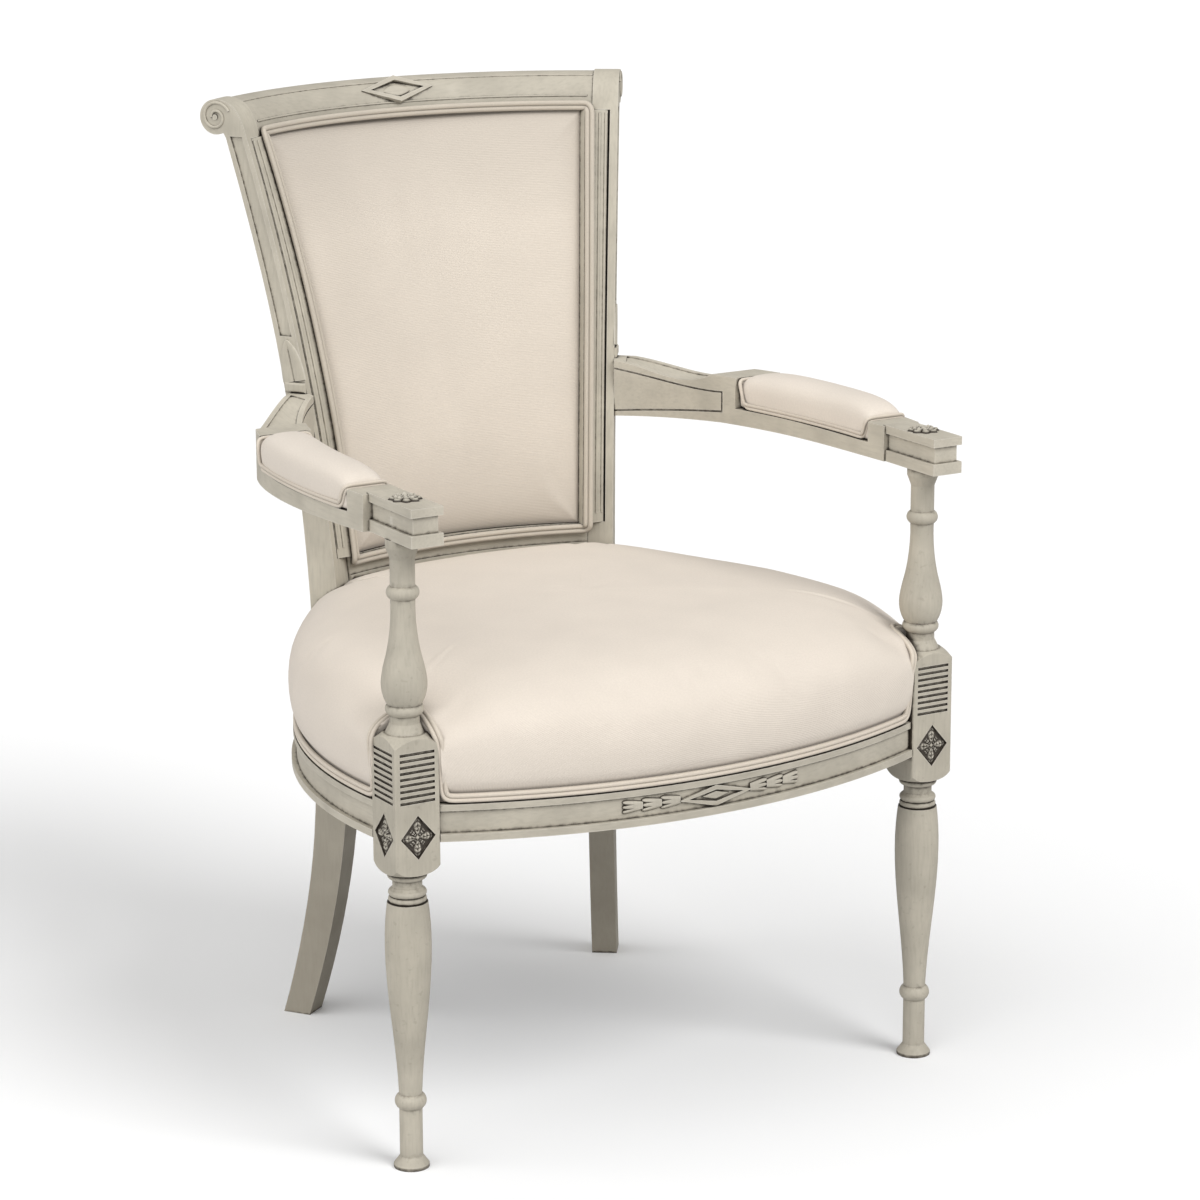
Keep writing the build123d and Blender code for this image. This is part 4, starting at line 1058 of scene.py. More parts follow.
@dataclass
class Seat:
    """Tight domed seat with its stuffing, base cloth, webbing, double welt and dust cover.

    Heights are above the floor. A growth is a way outward from the rails' faces.
    """

    palette: Palette
    plan: SeatPlan = field(default_factory=SeatPlan)
    columns: int = 440
    blend: float = 0.008
    rear_flat: float = 0.065
    cavity_low: float = 0.3748
    cavity_top: float = 0.4111
    cavity_edge: float = -0.0356
    skirt_low: float = 0.3468
    skirt_inner: float = -0.0074
    skirt_outer: float = -0.0040
    wall_low: float = 0.3556
    wall_height: float = 0.0424
    wall_start: float = -0.0030
    wall_bulge: float = 0.0100
    crown_low: float = 0.398
    crown_rise: float = 0.066
    crown_power: float = 0.75
    crown_reach: float = 0.007
    crown_draw: float = 0.150
    top_swell: float = 0.004
    held_below: float = 0.372
    over_block: float = 0.0085
    dip: float = 0.016
    dip_start: float = 0.030
    dip_width: float = 0.042
    inset: float = -0.0144
    cloth: float = 0.0012
    web_width: float = 0.050
    web_thickness: float = 0.0015
    welt_radius: float = 0.0023
    welt_z: float = 0.3512
    welt_gap: float = 0.0030
    welt_blend: float = 0.004
    climb_front: float = 0.0110
    climb_side: float = 0.0035

    def build(self) -> None:
        """Make all pieces of the seat."""
        finish, rails = self.palette, ["front_seat_rail", "rear_seat_rail"]
        self.cover()
        self.stuffing()
        self.sheet("seat_base_cloth", 0.3730, finish.webbing)
        self.sheet("dust_cover", 0.3108, finish.black)
        self.webbing()
        self.welt()

    def cover(self) -> None:
        """Cover: a cavity for the stuffing, a skirt in the rails' rebate, a bulging wall and a domed top.

        Each row of its surface is a height, a growth, a clearance and a share of the distance from the hub.
        """
        lean = np.linspace(0.0, np.pi / 2, 26)
        rise = np.linspace(0.0, 1.0, 8)[:-1]
        share = np.linspace(1.0, 0.0, 10)[1:]
        low, top, edge, inner = self.cavity_low, self.cavity_top, self.cavity_edge, SOFT_GAP + 0.002
        cavity = [(top, edge, inner, 0.0), (top, edge, inner, 1.0), (low, edge, inner, 1.0)]
        foot, near, far = self.skirt_low, self.skirt_inner, self.skirt_outer
        skirt = [(z, growth, SOFT_GAP, 1.0) for z, growth in ((low, near), (foot, near), (foot, far))]
        lining = np.array(cavity + skirt)
        wall = np.stack([self.wall_low + self.wall_height * rise, self.wall_reach(rise)], axis=1)
        outer = np.concatenate([wall, np.stack(self.crown_line(lean), axis=1)])
        outer = np.column_stack([outer, self.clearance(outer[:, 0]), np.ones(len(outer))])
        middle_z = self.crown_low + self.crown_rise + self.top_swell * (1 - share**2)
        drawn_in = np.full_like(share, self.crown_reach - self.crown_draw)
        middle = np.column_stack([middle_z, drawn_in, np.full_like(share, SOFT_GAP), share])
        rows = np.concatenate([lining, outer, middle])
        turn = self.plan.turns(self.columns)
        drawn = np.concatenate([np.zeros(len(lining) + len(wall)), 1 - np.cos(lean), np.ones(len(middle))])
        flat_rear = self.rear_flat * ease(-np.cos(turn), 0.35, 0.97)
        reach = rows[:, 1:2] + drawn[:, None] * flat_rear[None, :]
        surface = self.plan.rings(rows, turn, self.blend, reach)
        surface.points[len(lining):] = self.dipped(surface.points[len(lining):])
        piece = make_piece("seat_cover_form", [surface])
        points = piece_points(piece)
        turn, away = self.plan.polar(points)
        inside = (points[:, 2] < self.cavity_top + 0.0001) & (away < self.plan.edge(turn, -0.030))
        ClothPuff().apply(piece, inside | (points[:, 2] < self.held_below))
        register(piece, self.palette.fabric, ("seat_cover",))

    def wall_reach(self, rise: Array) -> Array:
        """Growth of the cover's wall, a root of a sine of the height.

        Args:
            rise: Height as a share of the wall's height.

        Returns:
            Growths.
        """
        return self.wall_start + self.wall_bulge * np.sin(rise * np.pi / 2) ** 0.5

    def clearance(self, z: Array) -> Array:
        """Clearance to the leg blocks, which closes over their shoulders toward the turned necks.

        Args:
            z: Heights.

        Returns:
            Clearances, below nothing where the cover comes in over a block.
        """
        return SOFT_GAP - self.over_block * ease(z, 0.408, 0.426)

    def dipped(self, points: Array) -> Array:
        """Points of the crown drawn down round the front legs, by a bell curve of the distance from a leg.

        Args:
            points: Points along the last axis.

        Returns:
            Lowered points.
        """
        away = np.hypot(np.abs(points[..., 0]) - LEG_X, points[..., 1] - FRONT_Y)
        near = np.exp(-((np.maximum(away - self.dip_start, 0.0) / self.dip_width) ** 2))
        drop = self.dip * near * np.clip((points[..., 2] - 0.400) / 0.045, 0.0, 1.0)
        return points - drop[..., None] * UP

    def crown_line(self, lean: Array) -> tuple[Array, Array]:
        """Height and growth of the crown where its outline has leaned in by an angle.

        Args:
            lean: Angles from upright.

        Returns:
            Heights and growths.
        """
        z = self.crown_low + self.crown_rise * np.sin(lean) ** self.crown_power
        return z, self.crown_reach - self.crown_draw * (1 - np.cos(lean))

    def stuffing(self) -> None:
        """Stuffing inside the cover, a flat cake with rounded rims."""
        gap = SOFT_GAP + 0.004
        rows = np.array([
            (0.3744, -0.038, gap, 0.0), (0.3744, -0.044, gap, 1.0), (0.3764, -0.039, gap, 1.0),
            (0.3920, -0.037, gap, 1.0), (0.4076, -0.039, gap, 1.0), (0.4098, -0.045, gap, 1.0),
            (0.4100, -0.080, gap, 1.0), (0.4104, -0.080, gap, 0.0),
        ])
        piece = make_piece("seat_stuffing_cake", [self.plan.rings(rows, self.plan.turns(160), 0.010)])
        register(piece, self.palette.stuffing, ("seat_stuffing",))

    def sheet(self, node: str, z: float, material: Material) -> None:
        """Cloth stretched over the frame, cut to the seat's plan.

        Args:
            node: Model node that it stands for.
            z: Height of its underside.
            material: Finish.
        """
        shares = (0.0, 0.5, 1.0)
        under = [(z, self.inset, 2 * SOFT_GAP, share) for share in shares]
        over = [(z + self.cloth, self.inset, 2 * SOFT_GAP, share) for share in shares[::-1]]
        rows = np.array(under + over)
        surface = self.plan.rings(rows, self.plan.turns(240), 0.004)
        piece = make_piece(f"{node}_sheet", [surface])
        register(piece, material, (node,))

    def strip(self, middle: float, along_x: bool, z: float) -> Surface:
        """One webbing strip across the seat, cut where it meets the seat's edge.

        Args:
            middle: Place of its middle line, on y where it runs along x and on x where it runs along y.
            along_x: Whether it runs along x.
            z: Height of its underside.

        Returns:
            The strip's surface.
        """
        turn = np.linspace(0.0, 2 * np.pi, 4000)
        reach = self.plan.radius(turn, np.full_like(turn, z), self.inset, 2 * SOFT_GAP, 0.002)
        rim = self.plan.points(turn, reach, z)
        across = middle + np.linspace(-0.5, 0.5, 7) * self.web_width
        place, run = (rim[:, 1], rim[:, 0]) if along_x else (rim[:, 0], rim[:, 1])
        halfway = 0.0 if along_x else self.plan.hub_y
        ends = []
        for side in (run < halfway, run >= halfway):
            order = np.argsort(place[side])
            ends.append(np.interp(across, place[side][order], run[side][order]))
        share = np.linspace(0.0, 1.0, 40)[:, None]
        way = ends[0][None, :] * (1 - share) + ends[1][None, :] * share
        beside = np.broadcast_to(across[None, :], way.shape)
        x, y = (way, beside) if along_x else (beside, way)
        low = np.stack([x, y, np.full_like(way, z)], axis=-1)
        return slab(low, low + self.web_thickness * UP)

    def webbing(self) -> None:
        """Webbing under the base cloth, five strips lengthwise and four across them."""
        ends, sides = ["front_seat_rail", "rear_seat_rail"], ["left_seat_rail", "right_seat_rail"]
        for node, along_x, z, middles, rests_on in (
            ("seat_webbing_lengthwise", False, 0.3700, 0.056 * np.arange(-2, 3), ends),
            ("seat_webbing_crosswise", True, 0.3715, -0.0367 + 0.080 * np.arange(-1.5, 2), sides),
        ):
            strips = [self.strip(float(middle), along_x, z) for middle in middles]
            piece = make_piece(f"{node}_strips", strips)
            register(piece, self.palette.webbing, (node,))

    def welt(self) -> None:
        """Double welt along the rails' top that climbs over the cover's rim round each front leg block.

        The rim's height is where the crown, drawn in as far as the block's face lies inside the rails' face,
        meets that face. The welt stops at the back posts, where it would turn in behind the rails' faces.
        """
        turn = self.plan.turns(2400)
        depth = np.clip(self.plan.edge(turn, 0.0) - self.plan.block(turn, SOFT_GAP), -0.040, 0.06)
        lean = np.arccos(1 - np.maximum(depth + self.crown_reach, 0.0) / self.crown_draw)
        rim = self.crown_line(lean)[0] - 0.003
        leg_turn = np.arctan2(LEG_X, self.plan.hub_y - FRONT_Y)
        before = np.where(np.cos(turn) > np.cos(leg_turn), self.climb_front, self.climb_side)
        climb = ease(depth + before, -0.0110, -0.0035)
        z = self.welt_z + climb * (rim - self.welt_z)
        wall = np.clip((z - self.wall_low) / self.wall_height, 0.0, 1.0)
        part = np.clip((z - self.crown_low) / self.crown_rise, 0.0, 1.0)
        crown = np.arcsin(part ** (1 / self.crown_power))
        reach = np.where(z < self.crown_low, self.wall_reach(wall), self.crown_line(crown)[1])
        reach = np.where(climb > 0, reach, 0.0) + 0.0006
        gap = self.welt_gap * (1 - climb) + self.clearance(z)
        blend = self.welt_blend + (self.blend - self.welt_blend) * climb
        radius = self.plan.radius(turn, z, reach, gap, blend)
        tilt = np.where(z > self.crown_low, crown, 0.0)[:, None]
        out = np.cos(tilt) * self.plan.facing(turn) + np.sin(tilt) * UP
        points = self.dipped(self.plan.points(turn, radius, z))
        line = resample(np.column_stack([points, out]), 1000, True)
        path, out = soften(line[:, :3], 14), unit(soften(line[:, 3:], 20))
        turn, away = self.plan.polar(path)
        shown = (path[:, 1] < 0) | (away > self.plan.edge(turn, 0.0) - 0.0015)
        start = np.flatnonzero(~shown)[-1] + 1
        shown, path, out = (np.roll(values, -start, axis=0) for values in (shown, path, out))
        runs = np.split(np.arange(len(path)), np.flatnonzero(np.diff(shown.astype(int))) + 1)
        profile = double_cord(self.welt_radius)
        cords = [sweep(path[run], out[run], profile, False) for run in runs if shown[run[0]]]
        piece = make_piece("seat_welt_cords", cords)
        register(piece, self.palette.welt, ("seat_welt",))


# Back


@dataclass
class Back:
    """Concave back panel with its pad, double welt, webbing and outside cloth."""

    palette: Palette
    band_start: float = 0.008
    band_width: float = 0.026
    low_turn: float = 2.0
    turn_growth: float = 20.0
    set_back: float = 0.0015
    low_sag: float = 0.027
    sag_growth: float = 0.029
    pad_thickness: float = 0.013
    pad_crown: float = 0.006
    pad_tuck: float = 0.009
    web_count: int = 4
    web_width: float = 0.050
    web_thickness: float = 0.0015
    web_margin: float = 0.040
    cloth: float = 0.0012
    welt_radius: float = 0.0026
    welt_along: float = 0.0212
    welt_out: float = 0.0026
    welt_low: float = 0.4708
    welt_top: float = 0.8884
    low_radius: float = 0.3856
    low_centre: float = 0.218 - 0.390

    def build(self) -> None:
        """Make all pieces of the back."""
        self.pad()
        self.webbing()
        self.outside()
        self.welt()

    def band_point(self, z: Array, along: float, out: float) -> Array:
        """Plan points on the right panel stile's face.

        Args:
            z: Heights.
            along: Way along the face from the post.
            out: Way in front of the face.

        Returns:
            x and y along the last axis.
        """
        sin_a, cos_a = np.sin(POST_ANGLE), np.cos(POST_ANGLE)
        reach = front_edge(z) + self.set_back
        outward = POST_THICKNESS - self.band_start
        turn = self.band_turn(z)
        x = reach * sin_a + outward * cos_a - along * np.cos(turn) - out * np.sin(turn)
        y = AXIS_Y + reach * cos_a - outward * sin_a + along * np.sin(turn) - out * np.cos(turn)
        return np.stack([x, y], axis=-1)

    def band_turn(self, z: Array) -> Array:
        """Plan turn of the panel stile's face, growing with the cube of the height.

        Args:
            z: Heights.

        Returns:
            Angles.
        """
        part = (z - PANEL_LOW) / (CREST_Z - PANEL_LOW)
        return np.radians(self.low_turn + self.turn_growth * part**3)

    def layer(
        self, z: Array, front: float, thickness: float, crown: float, tuck: float, cols: int
    ) -> Surface:
        """Curved layer between the panel stiles, its plan a parabola that deepens with the height.

        Args:
            z: Heights of its rows.
            front: Way of its edges behind the stiles' faces.
            thickness: Thickness.
            crown: Way its front bulges out in the middle.
            tuck: Way its front draws back along the edges.
            cols: Number of columns.

        Returns:
            The layer's surface.
        """
        inner = self.band_point(z, self.band_width, 0.0)
        half = inner[:, :1] - SOFT_GAP
        across = np.sin(np.linspace(-np.pi / 2, np.pi / 2, cols))[None, :]
        x = half * across
        part = (z[:, None] - PANEL_LOW) / (CREST_Z - PANEL_LOW)
        sag = self.low_sag + self.sag_growth * part
        hollow = 1 - across**2
        rim = np.minimum(half - np.abs(x), np.minimum(z - z.min(), z.max() - z)[:, None])
        drawn = tuck * np.exp(-rim / 0.015)
        swell = 1 - np.exp(-rim / 0.030)
        y_front = inner[:, 1:] + front + sag * hollow - crown * swell + drawn
        y_back = inner[:, 1:] + front + thickness + sag * hollow
        height = np.broadcast_to(z[:, None], x.shape)
        return slab(np.stack([x, y_front, height], axis=-1), np.stack([x, y_back, height], axis=-1))

    def pad(self) -> None:
        """Pad: a crowned layer drawn in along its welt."""
        height = CREST_Z - PANEL_LOW - 2 * SOFT_GAP
        z = PANEL_LOW + SOFT_GAP + height * (1 - np.cos(np.linspace(0, np.pi, 84))) / 2
        layer = self.layer(z, 0.0, self.pad_thickness, self.pad_crown, self.pad_tuck, 72)
        piece = make_piece("back_pad_form", [layer])
        points = piece_points(piece)
        inner = self.band_point(points[:, 2], self.band_width, 0.0)
        ends = np.minimum(points[:, 2] - z[0], z[-1] - points[:, 2])
        rim = np.minimum(inner[:, 0] - np.abs(points[:, 0]), ends)
        normals = np.zeros(len(points) * 3, dtype=np.float32)
        piece.data.vertices.foreach_get("normal", normals)
        ClothPuff(cap=0.002).apply(piece, (rim < 0.004) | (normals.reshape(-1, 3)[:, 1] > -0.2))
        register(piece, self.palette.shaded_back_fabric, ("back_pad",))

    def webbing(self) -> None:
        """Four webbing strips behind the pad."""
        width, behind = self.web_width, self.pad_thickness + SOFT_GAP
        room = CREST_Z - PANEL_LOW - 2 * self.web_margin - width
        lows = PANEL_LOW + self.web_margin + room * np.arange(self.web_count) / (self.web_count - 1)
        rows = [np.linspace(low, low + width, 6) for low in lows]
        strips = [self.layer(z, behind, self.web_thickness, 0.0, 0.0, 48) for z in rows]
        piece = make_piece("back_webbing_strips", strips)
        register(piece, self.palette.webbing, ("back_webbing",))

    def outside(self) -> None:
        """Cloth stretched over the outside of the back."""
        z = np.linspace(PANEL_LOW + SOFT_GAP, CREST_Z - SOFT_GAP, 60)
        behind = self.pad_thickness + self.web_thickness + 2 * SOFT_GAP
        surface = self.layer(z, behind, self.cloth, 0.0, 0.0, 60)
        piece = make_piece("outside_back_sheet", [surface])
        register(piece, self.palette.fabric, ("outside_back",))

    def loop(self) -> Array:
        """Welt's line: up the right stile, under the crest, down the left stile and along the lower rail.

        Under the crest it is an arc about the back axis. On the lower rail it is an arc about that rail's own
        centre.

        Returns:
            Points of the closed line.
        """
        z = np.linspace(self.welt_low + 0.003, min(self.welt_top - 0.003, CREST_Z), 90)
        right = np.column_stack([self.band_point(z, self.welt_along, self.welt_out), z])
        top_radius = float(front_edge(np.array(self.welt_top))) + self.set_back - 0.0040
        top_half = np.arcsin(right[-1, 0] / top_radius)
        low_half = np.arcsin(right[0, 0] / self.low_radius)
        arcs = []
        for turn, radius, centre, height in (
            (np.linspace(top_half, -top_half, 90), top_radius, AXIS_Y, self.welt_top),
            (np.linspace(-low_half, low_half, 60), self.low_radius, AXIS_Y + self.low_centre, self.welt_low),
        ):
            x, y = radius * np.sin(turn), centre + radius * np.cos(turn)
            arcs.append(np.stack([x, y, np.full(len(turn), height)], axis=1))
        return np.concatenate([right, arcs[0], right[::-1] * Side.LEFT.flip, arcs[1]])

    def facing(self, path: Array) -> Array:
        """Direction from each point of a line toward the back axis.

        Args:
            path: Points of the line.

        Returns:
            Level directions.
        """
        return np.stack([-path[:, 0], AXIS_Y - path[:, 1], np.zeros(len(path))], axis=1)

    def welt(self) -> None:
        """Double welt round the panel."""
        path = soften(resample(self.loop(), 760, True), 2)
        profile = double_cord(self.welt_radius)
        piece = make_piece("back_welt_cords", [sweep(path, self.facing(path), profile, True)])
        register(piece, self.palette.back_welt, ("back_welt",))


# Arms


@dataclass
class ArmPad:
    """Stuffed pad on an arm, with a double welt round its foot."""

    palette: Palette
    side: Side
    low_y: float = -0.1806
    high_y: float = 0.0186
    seat_z: float = 0.6044
    inner_x: tuple[float, float, float] = (0.2579, 0.2533, 0.2360)
    outer_x: tuple[float, float, float] = (0.3026, 0.3052, 0.2922)
    inset: float = 0.0020
    crown: float = 0.0365
    top_power: float = 0.72
    foot_power: float = 0.22
    front_low: float = 0.62
    rear_low: float = 0.82
    held_height: float = 0.006
    welt_radius: float = 0.0018
    welt_height: float = 0.0036
    front_climb: float = 0.0170
    rear_climb: float = 0.0235

    def build(self) -> None:
        """Make the pad and its welt."""
        self.pad()
        self.welt()

    def edges(self, y: Array, inset: float) -> tuple[Array, Array]:
        """Inner and outer edge of the pad's plan, each a parabola through three points.

        Args:
            y: Places along the arm.
            inset: Way the edges are drawn in.

        Returns:
            x of the inner and of the outer edge.
        """
        at = np.linspace(self.low_y, self.high_y, 3)
        inner = np.polyval(np.polyfit(at, self.inner_x, 2), y) + inset
        outer = np.polyval(np.polyfit(at, self.outer_x, 2), y) - inset
        return inner, outer

    def pad(self) -> None:
        """Pad: a rounded box section with a flat foot, closing in at both ends."""
        share = (1 - np.cos(np.linspace(0.02, np.pi - 0.02, 60))) / 2
        y = self.low_y + self.inset + (self.high_y - self.low_y - 2 * self.inset) * share
        inner, outer = self.edges(y, self.inset)
        end = (1 - np.abs(2 * share - 1) ** 5) ** 0.5
        turn = np.linspace(0.0, 2 * np.pi, 48, endpoint=False)
        power = np.where(np.sin(turn) > 0, self.top_power, self.foot_power)
        wide = np.sign(np.cos(turn)) * np.abs(np.cos(turn)) ** power
        high = np.sign(np.sin(turn)) * np.abs(np.sin(turn)) ** power
        swell = 1.0 + 0.05 * np.sin(np.pi * (high + 1) / 2)
        half = (outer - inner) / 2 * (0.90 + 0.10 * end)
        x = ((inner + outer) / 2)[:, None] + half[:, None] * (wide * swell)[None, :]
        low_end = self.front_low + (self.rear_low - self.front_low) * share
        z = self.seat_z + self.crown * (low_end + (1 - low_end) * end)[:, None] * (high + 1)[None, :] / 2
        rows = np.stack([self.side.value * x, np.broadcast_to(y[:, None], x.shape), z], axis=-1)
        poles = np.repeat(rows.mean(axis=1, keepdims=True)[[0, -1]], rows.shape[1], axis=1)
        rows = np.concatenate([poles[:1], rows, poles[1:]])
        flat = np.stack([rows[..., 0], rows[..., 1]], axis=-1)
        flat[..., 0] += np.sign(flat[..., 0] - flat[..., 0].mean()) * (rows[..., 2].max() - rows[..., 2])
        piece = make_piece(f"{self.side.label}_arm_pad_form", [Surface(rows, True, flat)])
        points = piece_points(piece)
        ClothPuff(cap=0.0015).apply(piece, points[:, 2] < self.seat_z + self.held_height)
        register(piece, self.palette.fabric, (f"{self.side.label}_arm_pad",))

    def welt(self) -> None:
        """Double welt round the pad: low along its sides, climbing at both ends to cross over by the wood."""
        radius = self.welt_radius
        share = np.linspace(0.0, 1.0, 120)
        y = self.low_y + radius + (self.high_y - self.low_y - 2 * radius) * share
        inner, outer = self.edges(y, radius)
        climb = ease(share, 0.955, 1.0) * self.rear_climb + ease(-share, -0.045, 0.0) * self.front_climb
        z = self.seat_z + self.welt_height + climb
        inner, outer = np.column_stack([inner, y, z]), np.column_stack([outer, y, z])
        cross = np.linspace(0.0, 1.0, 24)[1:-1, None]
        back = inner[-1] + (outer[-1] - inner[-1]) * cross
        front = outer[0] + (inner[0] - outer[0]) * cross
        line = np.concatenate([inner, back, outer[::-1], front]) * self.side.flip
        path = soften(resample(line, 420, True), 14)
        out = (path - path.mean(axis=0)) * np.array([3.0, 1.0, 0.0])
        out[:, 2] = 0.4 * (path[:, 2] - self.seat_z)
        cords = sweep(path, out, double_cord(radius), True)
        piece = make_piece(f"{self.side.label}_arm_welt_cords", [cords])
        register(piece, self.palette.welt, (f"{self.side.label}_arm_welt",))


# Painted frame


@dataclass
class Frame:
    """Painted wood of the model, which keeps its own shapes and takes its finishes here."""

    palette: Palette
    across: tuple[str, ...] = ("crest_rail", "lower_back_rail", "front_seat_rail", "rear_seat_rail")
    lengthwise: tuple[str, ...] = ("left_arm", "right_arm", "left_seat_rail", "right_seat_rail")

    def build(self) -> None:
        """Give each shown wood or steel node its finish."""
        for name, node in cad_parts.items():
            if name == "corner_block_screws":
                material = self.palette.steel
            elif name.endswith("corner_block"):
                material = self.palette.wood
            elif name.endswith("front_leg"):
                material = self.palette.turned
            elif name in self.across:
                material = self.palette.paint[Grain.ACROSS]
            elif name in self.lengthwise:
                material = self.palette.paint[Grain.LENGTHWISE]
            else:
                material = self.palette.paint[Grain.UPRIGHT]
            node.data.materials.clear()
            node.data.materials.append(material)


# Carving


@dataclass(frozen=True)
class Ground:
    """Place that a carving lies on: its middle, the directions across and up it, and the one out of it."""

    middle: Array
    across: Array
    up: Array

    @property
    def out(self) -> Array:
        """Direction out of the face.

        Returns:
            Unit direction.
        """
        return np.cross(self.across, self.up)

    def raised(self, a: Array, b: Array, height: Array) -> Array:
        """Points over the face.

        Args:
            a: Ways across.
            b: Ways up.
            height: Heights out of the face.

        Returns:
            Points along the last axis.
        """
        on_face = a[..., None] * self.across + b[..., None] * self.up
        return self.middle + on_face + height[..., None] * self.out


def rosette(ground: Ground, outline: Array, height: Array, foot: float) -> Surface:
    """Carving in rings about its middle, closed underneath.

    Args:
        ground: Face it lies on.
        outline: Distance of its edge on each ray.
        height: Height for each ring and ray, from the middle out.
        foot: Height of its underside.

    Returns:
        The carving's surface.
    """
    rings, rays = height.shape
    turn = np.linspace(0.0, 2 * np.pi, rays, endpoint=False)
    share = np.linspace(0.0, 1.0, rings)[:, None] * outline[None, :]
    top = ground.raised(share * np.cos(turn), share * np.sin(turn), height)
    under = ground.raised(outline * np.cos(turn), outline * np.sin(turn), np.full(rays, foot))
    pole = np.broadcast_to(ground.raised(np.zeros(1), np.zeros(1), np.array([foot])), under.shape)
    top[0] = top[0].mean(axis=0)
    level = np.concatenate([height / height.max(), np.zeros((2, rays))])
    points = np.concatenate([top, under[None], pole[None]])
    return Surface(points, True, np.stack([0 * level, level], axis=-1))


def leaf(ground: Ground, length: Array, width: Array, height: Array, foot: float) -> Surface:
    """Carving whose width changes along its length.

    Args:
        ground: Face it lies on, with the leaf's root at its middle and its tip upward.
        length: Length of each column of the leaf.
        width: Half width at each row.
        height: Height for each row and column.
        foot: Height of its underside.

    Returns:
        The carving's surface.
    """
    rows, cols = height.shape
    a = width[:, None] * np.linspace(-1.0, 1.0, cols)[None, :]
    b = np.linspace(0.0, 1.0, rows)[:, None] * np.broadcast_to(length, (1, cols))
    level = np.clip(height / height.max(), 0.0, 1.0)
    solid = slab(ground.raised(a, b, height), ground.raised(a, b, np.full_like(a, foot)))
    flat = slab(np.stack([0 * level, level, 0 * level], axis=-1), np.zeros((rows, cols, 3)))
    return Surface(solid.points, solid.wrap, flat.points[..., :2])


